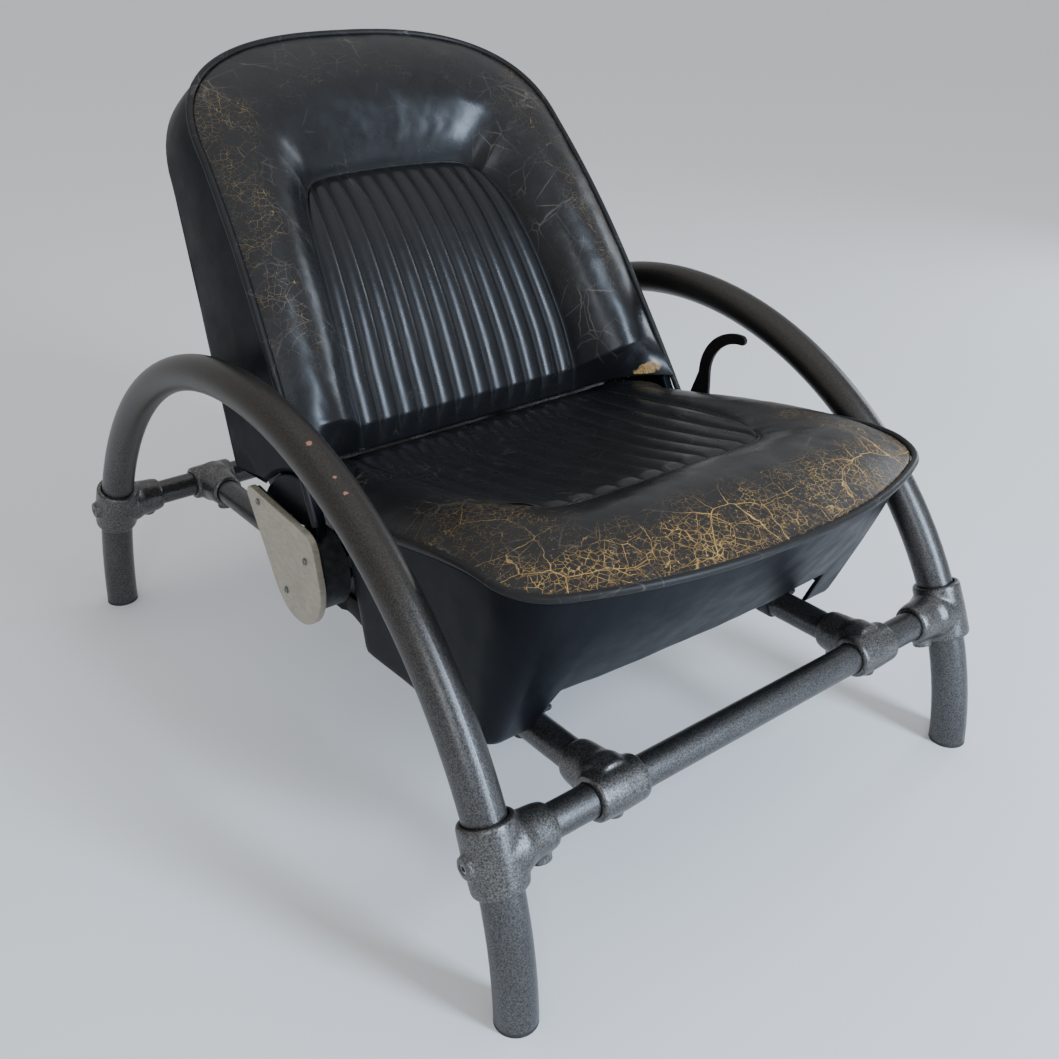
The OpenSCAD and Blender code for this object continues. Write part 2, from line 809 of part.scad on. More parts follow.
// Depth of the fluted panel behind the piping
function panel_depth(s) =
    s < 310 ? 36 + 20 * pow((s - 310) / 220, 2) : 36 + 15 * pow((s - 310) / 110, 2);

// Seam and flute places of the panel as [x, s]
function back_panel_xs(i, j) =
    let (p = 2 * i / cols - 1, q = max(0, (j - 1) / (rows - 1)))
    let (s = back_insert_low + q * (back_insert_top - back_insert_low
             - 11 * p * p - 22 * pow(p, 10) * pow(q, 6)))
    let (w = back_insert_w - 0.08 * max(0, s - 150))
    [p * w * (1 - 0.11 * pow(q, 8) * pow(p, 6)), s];

function back_panel_point(i, j) =
    let (xs = back_panel_xs(i, j), c = on_arc(back_arc, crease_angle))
    let (rise = j == rows ? 0 : flute(i))
    j == 0 ? [xs[0], c[0], c[1]] : back_point(xs[0], xs[1], rise - panel_depth(xs[1]));

function back_ring(k, r) =
    let (f = r / rings, h = half_k(k), s = back_panel_xs(seam_i(k), seam_j(k)))
    let (o = back_outline(outline_t(k, back_t0, back_corner_t), rim_in))
    let (a = on_arc(back_arc, lerp(crease_angle, wing_angle, f)))
    let (crown = h <= rows ? side_crown : lerp(side_crown, shoulder_crown, (h - rows) / (cols / 2)))
    let (d = crown * sin(180 * pow(f, 0.8)) - panel_depth(s[1]) * pow(1 - f, 2.2))
    h == 0 ? [lerp(s[0], side_k(k) * o[0], f), a[0], a[1]]
    : back_point(lerp(s[0], side_k(k) * o[0], f), lerp(s[1], o[1], f), d);

function foot_angle(a, v) = v == 1 ? a - 2.2 : lerp(a, arc_foot_angle, (v - 1) / (back_levels - 2));

function back_side_wall(k, v) =
    let (t = outline_t(k, back_t0, back_corner_t), s = side_k(k))
    let (o = back_outline(t, foam_in), o2 = back_outline(t, foam_inset), g = rear_outline(t, foam_inset))
    let (rim = back_point(s * o[0], o[1], -foam_down), deep = back_point(s * o2[0], o2[1], -14))
    let (back = rear_point(s * g[0], g[1], frame_space))
    let (a = on_arc(back_arc, foot_angle(wing_angle, v)), x = v == 1 ? o[0] : g[0])
    v == back_levels ? back
    : half_k(k) == 0 ? [s * x, a[0], a[1]]
    : v == 1 ? rim
    : lerp(deep, back, (v - 2) / (back_levels - 2));

function back_foot(q, v) =
    let (e = wall_start(q), f = e[0], side = e[1], p = e[2])
    let (edge = back_side_wall(seam_n, v), rim = back_outline(back_t0, rim_in)[0])
    let (a = on_arc(back_arc, foot_angle(lerp(crease_angle, wing_angle, f), v)))
    let (x = (f > 0 ? side * lerp(back_insert_w, rim, f) : back_insert_w * p) * edge[0] / rim)
    v == back_levels ? [x, edge[1], edge[2]] : [x, a[0], a[1]];

module backrest_cushion() {
    color("#1b1a1c")
        quilted(
            function(i, j) back_panel_point(i, j),
            function(k, r) back_ring(k, r),
            function(k, v) back_side_wall(k, v),
            function(q, v) back_foot(q, v),
            back_levels, rear_point(0, 240, frame_space), true
        );
}

// Side panel of the backrest: a band from the piping round to the rear edge
side_levels = 3;
function side_point(k, v, e) =
    let (t = outline_t(k, back_t0, back_corner_t), s = side_k(k))
    let (o = back_outline(t, e), g = rear_outline(t, e - rim_in))
    let (a = back_point(s * o[0], o[1], -rim_down), b = rear_point(s * g[0], g[1], 0))
    let (foot = on_arc(back_arc + 0.5, lerp(wing_angle - 3, arc_foot_angle + 16, v / side_levels)))
    half_k(k) == 0 && v < side_levels ? [lerp(a, b, v / side_levels)[0], foot[0], foot[1]]
    : lerp(a, b, v / side_levels);

module backrest_side_panel() {
    inner = rim_in + shell_wall;
    n = seam_n + 1;
    m = 2 * (side_levels + 1);
    points = [
        for (v = [0 : side_levels], k = [0 : seam_n]) side_point(k, v, rim_in),
        for (v = [side_levels : -1 : 0], k = [0 : seam_n]) side_point(k, v, inner)
    ];
    color("#101114")
        polyhedron(points, [
            for (v = [0 : m - 1], k = [0 : seam_n - 1])
                let (v2 = (v + 1) % m)
                each quad(v * n + k, v2 * n + k, v2 * n + k + 1, v * n + k + 1),
            for (v = [0 : side_levels - 1])
                each quad(v * n, (m - 1 - v) * n, (m - 2 - v) * n, (v + 1) * n),
            for (v = [0 : side_levels - 1])
                each quad((v + 1) * n + seam_n, (m - 2 - v) * n + seam_n,
                          (m - 1 - v) * n + seam_n, v * n + seam_n)
        ], convexity = 8);
}

// Puts its children in the backrest's rear plane: X across, Y up the plane, Z to the sitter
module rear_plane() {
    translate([0, rear_foot[0], rear_foot[1]])
        rotate([90 - rear_lean, 0, 0])
            children();
}

// Board that closes the backrest's rear, set just inside the side panel
module back_panel() {
    board_t = 4;
    edge = shell_wall + 3.5;
    half = [for (k = [0 : seam_n / 2]) rear_outline(outline_t(k, back_t0, back_corner_t), edge)];
    color("#101114")
        rear_plane()
            translate([0, 0, 0.5])
                linear_extrude(board_t)
                    polygon([
                        for (p = half) [p[0], p[1] + 2],
                        for (i = [seam_n / 2 - 1 : -1 : 0]) [-half[i][0], half[i][1] + 2]
                    ]);
}

back_welt_n = 30;

module backrest_piping() {
    half = [
        for (i = [0 : back_welt_n])
            let (o = back_outline(lerp(-0.015, 1, i / back_welt_n), 0))
            back_point(o[0], o[1], 0)
    ];
    color("#15130f")
        welt([
            for (i = [0 : back_welt_n]) half[i],
            for (i = [back_welt_n - 1 : -1 : 0]) [-half[i][0], half[i][1], half[i][2]]
        ], welt_r);
}

// ---------------------------------------------------------------- backrest frame

hoop_r = 9;
hoop_x = 232;
hoop_bend = 80;
hoop_low = 26;
hoop_top = 440;
hoop_z = 16;

// Tube hoop inside the backrest, with one rail across its foot
module backrest_frame() {
    straight = hoop_top - hoop_bend - hoop_low;
    color("darkslategray")
        rear_plane()
            translate([0, 0, hoop_z]) {
                for (s = [-1, 1]) {
                    translate([s * hoop_x, hoop_low, 0])
                        rotate([-90, 0, 0])
                            cylinder(r = hoop_r, h = straight, $fn = 48);
                    translate([s * (hoop_x - hoop_bend), hoop_low + straight, 0])
                        mirror([s < 0 ? 1 : 0, 0, 0])
                            rotate_extrude(angle = 90, $fn = 96)
                                translate([hoop_bend, 0])
                                    circle(r = hoop_r, $fn = 48);
                }
                translate([hoop_bend - hoop_x, hoop_top, 0])
                    rotate([0, 90, 0])
                        cylinder(r = hoop_r, h = 2 * (hoop_x - hoop_bend), $fn = 48);
                translate([-plate_x, hoop_low + 14, 0])
                    rotate([0, 90, 0])
                        cylinder(r = hoop_r, h = 2 * plate_x - 0.1, $fn = 48);
            }
}

module backrest_webbing() {
    color("black")
        rear_plane()
            for (i = [0 : 4])
                translate([-hoop_x, 90 + 66 * i, hoop_z + hoop_r + 0.1])
                    cube([2 * hoop_x, 44, web_t]);
}

// ---------------------------------------------------------------- recliners

// Places in YZ
pivot = [pivot_y, pivot_z];
hinge_bolt_at = [[8, 302], [42, 288]];
cover_screw_at = [[56, 308], [-52, 276], [-1, 218]];
cover_corner = [-48, 287];
cover_tip = [74, 311];
hoop_foot = [146.7, 361];

cover_screw_r = 1.6;
hex_nut_r = 7;

// Plate from x0, t thick, around the circles [y, z, r] in discs
module pear_plate(x0, t, discs) {
    translate([x0, 0, 0])
        stand()
            linear_extrude(t)
                hull()
                    for (d = discs)
                        translate([d[0], d[1]])
                            circle(r = d[2], $fn = 64);
}

// Steel plate that carries the pivot, bolted through spacers to the seat frame
module hinge_bracket(side) {
    color("darkslategray")
        on_side(side)
            difference() {
                pear_plate(bracket_x, bracket_t, [
                    [pivot[0], pivot[1], 30],
                    [bracket_bolt_at[0][0], bracket_bolt_at[0][1], 13],
                    [bracket_bolt_at[1][0], bracket_bolt_at[1][1], 13]
                ]);
                x_bore(pivot_r + set_gap, pivot);
                for (p = bracket_bolt_at)
                    x_bore(bolt_r + bolt_play, p);
            }
}

// Bolts, spacers and nuts of both hinge brackets
module bracket_bolts() {
    frame_out = frame_in + frame_w;
    color("silver")
        for (side = [-1, 1], p = bracket_bolt_at)
            on_side(side) {
                difference() {
                    x_pin(7, frame_out + 0.1, bracket_x - 0.05, p[0], p[1]);
                    x_bore(bolt_r + bolt_play, p);
                }
                x_pin(bolt_r, frame_in - 8, bracket_x + bracket_t + 1, p[0], p[1]);
                x_pin(hex_nut_r, bracket_x + bracket_t + 0.05, bracket_x + bracket_t + 4.5, p[0], p[1]);
                x_pin(hex_nut_r, frame_in - 6, frame_in - 0.1, p[0], p[1]);
            }
}

// Drum on the bracket that holds the clock spring and the friction disc
module recliner_housing(side) {
    boss_r = 22;
    boss_x = bracket_x + bracket_t + 0.05;
    floor_t = 3.5;
    lid_t = 2.6;
    color("#2b2c2e")
        on_side(side)
            difference() {
                union() {
                    x_pin(housing_r, housing_x, housing_end, pivot[0], pivot[1]);
                    x_pin(boss_r, boss_x, housing_x + 1, pivot[0], pivot[1]);
                }
                x_pin(housing_r - housing_wall, housing_x + floor_t, housing_end - lid_t,
                      pivot[0], pivot[1]);
                x_bore(pivot_r + set_gap, pivot);
                x_pin(hub_r + gap, housing_x + floor_t, housing_end + 1, pivot[0], pivot[1]);
            }
}

// Hollow bolt that the backrest turns on
module pivot_bolt(side) {
    color("silver")
        on_side(side)
            difference() {
                union() {
                    x_pin(pivot_r, bracket_x - 11, arm_x + arm_t + 0.3, pivot[0], pivot[1]);
                    x_pin(pivot_r + 4, arm_x + arm_t + 0.2, cover_end - 3, pivot[0], pivot[1]);
                }
                x_bore(shaft_r + set_gap, pivot);
            }
}

module pivot_nuts() {
    color("silver")
        for (side = [-1, 1])
            on_side(side)
                difference() {
                    translate([bracket_x - 9, pivot[0], pivot[1]])
                        rotate([0, 90, 0])
                            cylinder(r = 13, h = 8.9, $fn = 6);
                    x_bore(pivot_r + set_gap, pivot);
                }
}

// Flat spiral spring around the arm's hub
module clock_spring(side) {
    turns = 3;
    steps = 20;
    inner_r = hub_r + 2.5;
    pitch = 8;
    strip_t = 1.4;
    function coil(r0) = [
        for (i = [0 : turns * steps])
            let (a = 360 * i / steps, r = r0 + pitch * i / steps)
            [r * cos(a), r * sin(a)]
    ];
    outer = coil(inner_r + strip_t);
    inner = coil(inner_r);
    color("slategray")
        on_side(side)
            translate([housing_x + 7, pivot[0], pivot[1]])
                stand()
                    linear_extrude(8)
                        polygon([
                            for (p = inner) p,
                            for (i = [len(outer) - 1 : -1 : 0]) outer[i]
                        ]);
}

// Moving arm with its hub, fixed to the backrest's side plate
module recliner_arm(side) {
    boss_r = 5;
    color("darkslategray")
        on_side(side)
            difference() {
                union() {
                    pear_plate(arm_x, arm_t, [
                        [pivot[0], pivot[1], 44],
                        [cover_corner[0], cover_corner[1], 16],
                        [cover_tip[0], cover_tip[1], 7.5]
                    ]);
                    x_pin(hub_r, housing_x + 5, arm_x + 1, pivot[0], pivot[1]);
                    for (p = cover_screw_at)
                        x_pin(boss_r, arm_x + 1, cover_end - cover_wall - 0.1, p[0], p[1]);
                }
                x_bore(pivot_r + set_gap, pivot);
                for (p = cover_screw_at)
                    x_bore(cover_screw_r + set_gap, p);
                for (p = hinge_bolt_at)
                    x_bore(bolt_r + bolt_play, p);
            }
}

module friction_disc(side) {
    color("gray")
        on_side(side)
            difference() {
                x_pin(40, housing_x + 20, housing_x + 25, pivot[0], pivot[1]);
                x_bore(hub_r + set_gap, pivot);
            }
}

// Pear-shaped casing over the arm; the left one lets the release shaft through
module recliner_cover(side) {
    outline = [
        [pivot[0] - 1, pivot[1] - 1, 58],
        [cover_corner[0], cover_corner[1], 24],
        [cover_tip[0], cover_tip[1], 10]
    ];
    color("silver")
        on_side(side)
            difference() {
                pear_plate(cover_x, cover_end - cover_x, outline);
                pear_plate(cover_x - 1, cover_end - cover_x - cover_wall + 1,
                           [for (d = outline) [d[0], d[1], d[2] - cover_wall]]);
                for (p = cover_screw_at)
                    x_bore(cover_screw_r + 0.2, p);
                if (side > 0)
                    x_bore(shaft_r + 2, pivot);
            }
}

module cover_screws() {
    head_r = 4.2;
    head_t = 2;
    color("silver")
        for (side = [-1, 1], p = cover_screw_at)
            on_side(side)
                difference() {
                    union() {
                        x_pin(cover_screw_r, arm_x + arm_t + 0.5, cover_end + 1, p[0], p[1]);
                        x_pin(head_r, cover_end + set_gap, cover_end + head_t, p[0], p[1]);
                    }
                    translate([cover_end + head_t - 0.8, p[0] - head_r, p[1] - 0.5])
                        cube([2, 2 * head_r, 1]);
                    translate([cover_end + head_t - 0.8, p[0] - 0.5, p[1] - head_r])
                        cube([2, 1, 2 * head_r]);
                }
}

// Steel side plate of the backrest, welded to the hoop's foot rail
module side_plate(side) {
    color("darkslategray")
        on_side(side)
            difference() {
                pear_plate(plate_x, plate_t, [
                    [hinge_bolt_at[0][0], hinge_bolt_at[0][1], 10],
                    [hinge_bolt_at[1][0], hinge_bolt_at[1][1], 10],
                    [hoop_foot[0], hoop_foot[1], 10.5]
                ]);
                for (p = hinge_bolt_at)
                    x_bore(bolt_r + bolt_play, p);
            }
}

// Bolts and nuts that hold each recliner arm to its side plate
module hinge_bolts() {
    color("silver")
        for (side = [-1, 1], p = hinge_bolt_at)
            on_side(side) {
                x_pin(bolt_r, plate_x - 5, arm_x + arm_t + 1, p[0], p[1]);
                x_pin(hex_nut_r, arm_x + arm_t + 0.05, arm_x + arm_t + 4, p[0], p[1]);
                x_pin(hex_nut_r, plate_x - 4.5, plate_x - 0.05, p[0], p[1]);
            }
}

// Padded cover of the backrest's foot, around the hinge
module hinge_cover(side) {
    inner_r = 54;
    outer_r = 112;
    steps = 14;
    front_edge = [[-29, 352], [-50, 315]];
    color("#101114")
        on_side(side)
            difference() {
                translate([plate_x + plate_t + 1, 0, 0])
                    stand()
                        linear_extrude(14)
                            polygon([
                                for (i = [0 : steps])
                                    on_arc(outer_r, lerp(arc_foot_angle, 92, i / steps)),
                                for (p = front_edge) p,
                                for (i = [0 : steps])
                                    on_arc(inner_r, lerp(118, 28, i / steps))
                            ]);
                for (p = hinge_bolt_at)
                    x_bore(bolt_r + bolt_play, p);
            }
}

// ---------------------------------------------------------------- release lever

module release_shaft() {
    color("silver")
        x_pin(shaft_r, -cover_end + 4, lever_end + 3.5, pivot[0], pivot[1]);
}

lever_knee = [-68, 345];
lever_turn = [-69, 369];
lever_arc_r = 61;
lever_sweep = 92;
lever_w = 9.5;
lever_tip_w = 6.5;
lever_steps = 16;

// Points along one edge of the lever's curved end: s = 1 for its outer edge, -1 for its inner
function lever_edge(s) = [
    for (i = [0 : lever_steps])
        let (a = lever_sweep * i / lever_steps, w = lerp(lever_w, lever_tip_w, i / lever_steps))
        [lever_turn[0] - lever_arc_r + (lever_arc_r + s * w) * cos(a),
         lever_turn[1] + (lever_arc_r + s * w) * sin(a)]
];

// Flat curved lever with its hub
module recline_lever() {
    outer = lever_edge(1);
    inner = lever_edge(-1);
    grip_end = (outer[lever_steps] + inner[lever_steps]) / 2;
    color("#101114")
        difference() {
            union() {
                translate([lever_x, 0, 0])
                    stand()
                        linear_extrude(lever_t) {
                            polygon([
                                [pivot[0] + 12, pivot[1] + 4], for (p = outer) p,
                                for (i = [lever_steps : -1 : 0]) inner[i],
                                [lever_knee[0] - lever_w - 1, lever_knee[1] - 6],
                                [pivot[0] - 12, pivot[1] - 4]
                            ]);
                            translate(grip_end)
                                circle(r = lever_tip_w, $fn = 48);
                        }
                x_pin(15, lever_x, lever_end, pivot[0], pivot[1]);
            }
            x_bore(shaft_r + set_gap, pivot);
        }
}

module lever_nut() {
    color("silver")
        difference() {
            translate([lever_end + set_gap, pivot[0], pivot[1]])
                rotate([0, 90, 0])
                    cylinder(r = 9, h = 3, $fn = 6);
            x_bore(shaft_r + set_gap, pivot);
        }
}

// Torsion spring around the release shaft: one wire, its least gap to itself is printed
module lever_spring() {
    turns = 5;
    ring_steps = 8;
    coil_r = 8;
    wire_r = 1.1;
    pitch = 3;
    sides = 6;
    n = turns * ring_steps;
    path = [
        for (i = [0 : n])
            let (a = 360 * i / ring_steps)
            [frame_in + frame_w + 4 + pitch * i / ring_steps,
             pivot[0] + coil_r * cos(a), pivot[1] + coil_r * sin(a)]
    ];
    ring_pts = [
        for (i = [0 : n])
            let (a = 360 * i / ring_steps, u = [0, cos(a), sin(a)])
            for (s = [0 : sides - 1])
                path[i] + wire_r * (cos(360 * s / sides) * u + sin(360 * s / sides) * [1, 0, 0])
    ];
    turn_gaps = [for (i = [0 : n - ring_steps]) norm(path[i + ring_steps] - path[i])];
    echo(spring_gap = min(turn_gaps) - 2 * wire_r);
    color("slategray")
        polyhedron(ring_pts, [
            for (i = [0 : n - 1], s = [0 : sides - 1])
                let (s2 = (s + 1) % sides)
                each quad(i * sides + s2, (i + 1) * sides + s2, (i + 1) * sides + s, i * sides + s),
            [for (s = [0 : sides - 1]) sides - 1 - s],
            [for (s = [0 : sides - 1]) n * sides + s]
        ], convexity = 10);
}

// ---------------------------------------------------------------- nodes

arch_tube(1);  // left_arch_tube
arch_tube(-1);  // right_arch_tube
foot_plugs();
cross_tube(-1);  // front_cross_tube
cross_tube(1);  // rear_cross_tube
rail_tube(1);  // left_rail_tube
rail_tube(-1);  // right_rail_tube
corner_tee(1, -1);  // front_left_tee
corner_tee(-1, -1);  // front_right_tee
corner_tee(1, 1);  // rear_left_tee
corner_tee(-1, 1);  // rear_right_tee
rail_tee(1, -1);  // front_left_rail_tee
rail_tee(-1, -1);  // front_right_rail_tee
rail_tee(1, 1);  // rear_left_rail_tee
rail_tee(-1, 1);  // rear_right_rail_tee
set_screws();
seat_frame();
seat_webbing();
front_pedestals();
rear_pedestals();
pipe_straps();
strap_bolts();
seat_base_shell();
seat_cushion();
seat_piping();
hinge_bracket(1);  // left_hinge_bracket
hinge_bracket(-1);  // right_hinge_bracket
bracket_bolts();
recliner_housing(1);  // left_recliner_housing
recliner_housing(-1);  // right_recliner_housing
pivot_bolt(1);  // left_pivot_bolt
pivot_bolt(-1);  // right_pivot_bolt
pivot_nuts();
clock_spring(1);  // left_clock_spring
clock_spring(-1);  // right_clock_spring
recliner_arm(1);  // left_recliner_arm
recliner_arm(-1);  // right_recliner_arm
friction_disc(1);  // left_friction_disc
friction_disc(-1);  // right_friction_disc
recliner_cover(1);  // left_recliner_cover
recliner_cover(-1);  // right_recliner_cover
cover_screws();
side_plate(1);  // left_side_plate
side_plate(-1);  // right_side_plate
hinge_bolts();
hinge_cover(1);  // left_hinge_cover
hinge_cover(-1);  // right_hinge_cover
backrest_frame();
backrest_webbing();
backrest_cushion();
backrest_side_panel();
back_panel();
backrest_piping();
release_shaft();
recline_lever();
lever_nut();
lever_spring();
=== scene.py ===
import math

import bmesh
import bpy
import numpy as np
from mathutils import Matrix, Vector, noise


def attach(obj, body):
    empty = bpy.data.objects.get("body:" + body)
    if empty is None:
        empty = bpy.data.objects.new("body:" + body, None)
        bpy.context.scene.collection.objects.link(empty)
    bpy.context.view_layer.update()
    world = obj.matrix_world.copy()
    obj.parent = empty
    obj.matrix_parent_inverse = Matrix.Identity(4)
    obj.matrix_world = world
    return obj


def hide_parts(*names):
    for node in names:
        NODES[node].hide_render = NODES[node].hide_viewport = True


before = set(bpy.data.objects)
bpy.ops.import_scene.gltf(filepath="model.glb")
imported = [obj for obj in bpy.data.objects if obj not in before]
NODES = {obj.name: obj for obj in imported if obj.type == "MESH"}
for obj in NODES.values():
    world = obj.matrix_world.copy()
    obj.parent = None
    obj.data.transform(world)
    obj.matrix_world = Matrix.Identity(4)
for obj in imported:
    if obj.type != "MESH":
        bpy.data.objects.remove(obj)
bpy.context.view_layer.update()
MM = 0.001


# --- small helpers

def lerp(a, b, t):
    return a + (b - a) * t


def mix(a, b, t):
    return tuple(x + (y - x) * t for x, y in zip(a, b))


def clamp01(t):
    return max(0.0, min(1.0, t))


def smooth(t):
    t = clamp01(t)
    return t * t * (3 - 2 * t)


def cosd(a):
    return math.cos(math.radians(a))


def sind(a):
    return math.sin(math.radians(a))


def circle(r, n, y=0.0, z=0.0):
    """Points of a circle, counted from the first axis."""
    return [(y + r * math.cos(2 * math.pi * k / n), z + r * math.sin(2 * math.pi * k / n)) for k in range(n)]


def link(name, data):
    """New object in the scene."""
    obj = bpy.data.objects.new(name, data)
    bpy.context.scene.collection.objects.link(obj)
    return obj


def store(bm, mesh):
    """Writes the bmesh to the mesh, with its faces turned outward."""
    bmesh.ops.recalc_face_normals(bm, faces=bm.faces[:])
    bm.to_mesh(mesh)
    bm.free()
    return mesh


def coat(mesh, material):
    """Makes the material the mesh's only one."""
    mesh.materials.clear()
    mesh.materials.append(material)


def dress(obj, material, body, node=None, sharp_angle=None):
    """Material, shading and body of a piece; hides the CAD node that it stands for."""
    coat(obj.data, material)
    obj.data.shade_smooth()
    if sharp_angle is not None:
        obj.data.set_sharp_from_angle(angle=math.radians(sharp_angle))
    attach(obj, body)
    if node:
        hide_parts(node)


def make_object(name, points, faces, material, body, node=None):
    """Mesh object from points in mm, riding on a body."""
    mesh = bpy.data.meshes.new(name)
    mesh.from_pydata([[c * MM for c in p] for p in points], [], faces)
    bm = bmesh.new()
    bm.from_mesh(mesh)
    obj = link(name, store(bm, mesh))
    dress(obj, material, body, node)
    return obj


def vertex_data(mesh, key):
    values = np.zeros(len(mesh.vertices) * 3)
    mesh.vertices.foreach_get(key, values)
    return values.reshape(-1, 3)


def set_coords(mesh, co):
    mesh.vertices.foreach_set("co", co.reshape(-1))
    mesh.update()


def attribute(obj, name, values):
    a = obj.data.attributes.get(name) or obj.data.attributes.new(name, "FLOAT", "POINT")
    a.data.foreach_set("value", np.asarray(values, np.float32))


def apply_modifiers(obj):
    dg = bpy.context.evaluated_depsgraph_get()
    mesh = bpy.data.meshes.new_from_object(obj.evaluated_get(dg))
    obj.modifiers.clear()
    old = obj.data
    obj.data = mesh
    bpy.data.meshes.remove(old)


def subdivide(obj):
    m = obj.modifiers.new("Sub", "SUBSURF")
    m.levels = m.render_levels = 1
    apply_modifiers(obj)


def close_below(obj):
    """Fills the open underside with one face."""
    bm = bmesh.new()
    bm.from_mesh(obj.data)
    bmesh.ops.holes_fill(bm, edges=[e for e in bm.edges if e.is_boundary], sides=0)
    store(bm, obj.data)
    obj.data.shade_smooth()


CLOTH_FRAMES, SPREAD_ROUNDS = 20, 5
CLOTH = {"quality": 6, "mass": 0.25, "tension_stiffness": 18, "compression_stiffness": 12,
         "shear_stiffness": 6, "bending_stiffness": 0.25, "use_pressure": True,
         "uniform_pressure_force": 4.0, "vertex_group_mass": "pin", "pin_stiffness": 1.0}


def inflate(obj, free, caps):
    """Cloth under a little pressure; free = 1 where the cover may move, 0 where it is sewn down.

    The movement is evened out over the neighbours and stays under caps, in mm.
    """
    mesh = obj.data
    rest = vertex_data(mesh, "co")
    group = obj.vertex_groups.new(name="pin")
    for i, f in enumerate(free):
        group.add([i], 1.0 - f, "REPLACE")
    m = obj.modifiers.new("Cloth", "CLOTH")
    for key, value in CLOTH.items():
        setattr(m.settings, key, value)
    m.settings.effector_weights.gravity = 0
    m.collision_settings.use_collision = False
    m.collision_settings.use_self_collision = False
    m.point_cache.frame_start = 1
    m.point_cache.frame_end = CLOTH_FRAMES
    scene = bpy.context.scene
    for f in range(1, CLOTH_FRAMES + 1):
        scene.frame_set(f)
    dg = bpy.context.evaluated_depsgraph_get()
    move = vertex_data(obj.evaluated_get(dg).data, "co") - rest
    ends = np.zeros(len(mesh.edges) * 2, int)
    mesh.edges.foreach_get("vertices", ends)
    a, b = ends[::2], ends[1::2]
    share = np.maximum(np.bincount(ends, minlength=len(move)), 1)[:, None]
    loose = np.asarray(free)[:, None] ** 0.25
    for _ in range(SPREAD_ROUNDS):
        total = np.zeros_like(move)
        np.add.at(total, a, move[b])
        np.add.at(total, b, move[a])
        move = (0.4 * move + 0.6 * total / share) * loose
    size = np.linalg.norm(move, axis=1)
    limit = np.maximum(np.asarray(caps) * MM, 1e-6)
    scale = limit * np.tanh(size / limit) / np.maximum(size, 1e-9)
    obj.modifiers.clear()
    obj.vertex_groups.clear()
    set_coords(mesh, rest + move * scale[:, None])
    scene.frame_set(1)


def fbm(p, scale):
    return noise.fractal(Vector(p) * scale, 1.0, 2.0, 3)


def ripple(obj, amount, scale, weight=1.0, stretch=(1, 1, 1)):
    """Moves the surface in and out by noise: amount in mm, scale per metre."""
    co, n = vertex_data(obj.data, "co"), vertex_data(obj.data, "normal")
    k = np.array([fbm((p[0] * stretch[0], p[1] * stretch[1], p[2] * stretch[2]), scale) for p in co])
    k = k * weight
    set_coords(obj.data, co + n * (k * amount * MM)[:, None])


def quads(lines, turned=False):
    """Faces between neighbouring lines of point numbers; turned reverses them."""
    faces = []
    for a, b in zip(lines, lines[1:]):
        faces += [(a[k], a[k + 1], b[k + 1], b[k]) for k in range(len(a) - 1)]
    return [(a, d, c, b) for a, b, c, d in faces] if turned else faces


def tube_mesh(path, radius, sides):
    """Points and faces of a round tube along a path in mm."""
    pts = [Vector(p) for p in path]
    last = len(pts) - 1
    verts, ref = [], None
    for i, at in enumerate(pts):
        t = (pts[min(i + 1, last)] - pts[max(i - 1, 0)]).normalized()
        if ref is None:
            ref = Vector((0, 0, 1)) if abs(t.z) < 0.9 else Vector((0, 1, 0))
        ref = (ref - t * ref.dot(t)).normalized()
        w = t.cross(ref)
        verts += [at + ref * x + w * y for x, y in circle(radius, sides)]
    rings = [[i * sides + k % sides for k in range(sides + 1)] for i in range(last + 1)]
    return verts, quads(rings) + [rings[0][:-1], rings[-1][:-1]]


# --- camera, light and floor

# The camera is a pinhole: its picture's side, focal length and centre are in pixels
PICTURE, FOCAL, CENTRE = 1059, 1214.42, (538.72, 407.59)
CAMERA_AT = (-0.8356, -1.1338, 0.9210)
YAW, PITCH, ROLL = -38.67, 21.38, 0.18
SENSOR = 36
WORLD_COLOR, WORLD_STRENGTH = (0.90, 0.92, 0.95, 1), 0.64
SKY_POWER, SKY_ANGLE = 0.35, 70
FLOOR_HALF, FLOOR_GREY, FLOOR_ROUGH = 30, 0.88, 0.85
# name, place, aim, size, power, colour
LAMPS = [("window", (0.62, -2.8, 1.5), (0.05, 0, 0.5), (0.6, 2.4), 135, (0.64, 0.79, 1.0)),
         ("side", (2.9, -0.1, 1.0), (0, 0, 0.4), (0.5, 1.4), 20, (0.76, 0.87, 1.0)),
         ("front", (-2.2, -2.6, 1.9), (0, 0, 0.4), (0.6, 1.6), 24, (0.82, 0.90, 1.0))]


def camera():
    data = bpy.data.cameras.new("camera")
    cam = link("camera", data)
    back = Vector((sind(YAW) * cosd(PITCH), -cosd(YAW) * cosd(PITCH), sind(PITCH)))
    right = Vector((cosd(YAW), sind(YAW), 0))
    up = back.cross(right)
    rolled = right * cosd(ROLL) + up * sind(ROLL)
    m = Matrix((rolled, up * cosd(ROLL) - right * sind(ROLL), back)).transposed().to_4x4()
    m.translation = Vector(CAMERA_AT)
    cam.matrix_world = m
    data.sensor_width = SENSOR
    data.lens = SENSOR * FOCAL / PICTURE
    data.shift_x = -(CENTRE[0] - PICTURE / 2) / PICTURE
    data.shift_y = (CENTRE[1] - PICTURE / 2) / PICTURE
    data.clip_start = 0.05
    data.clip_end = 60
    bpy.context.scene.camera = cam


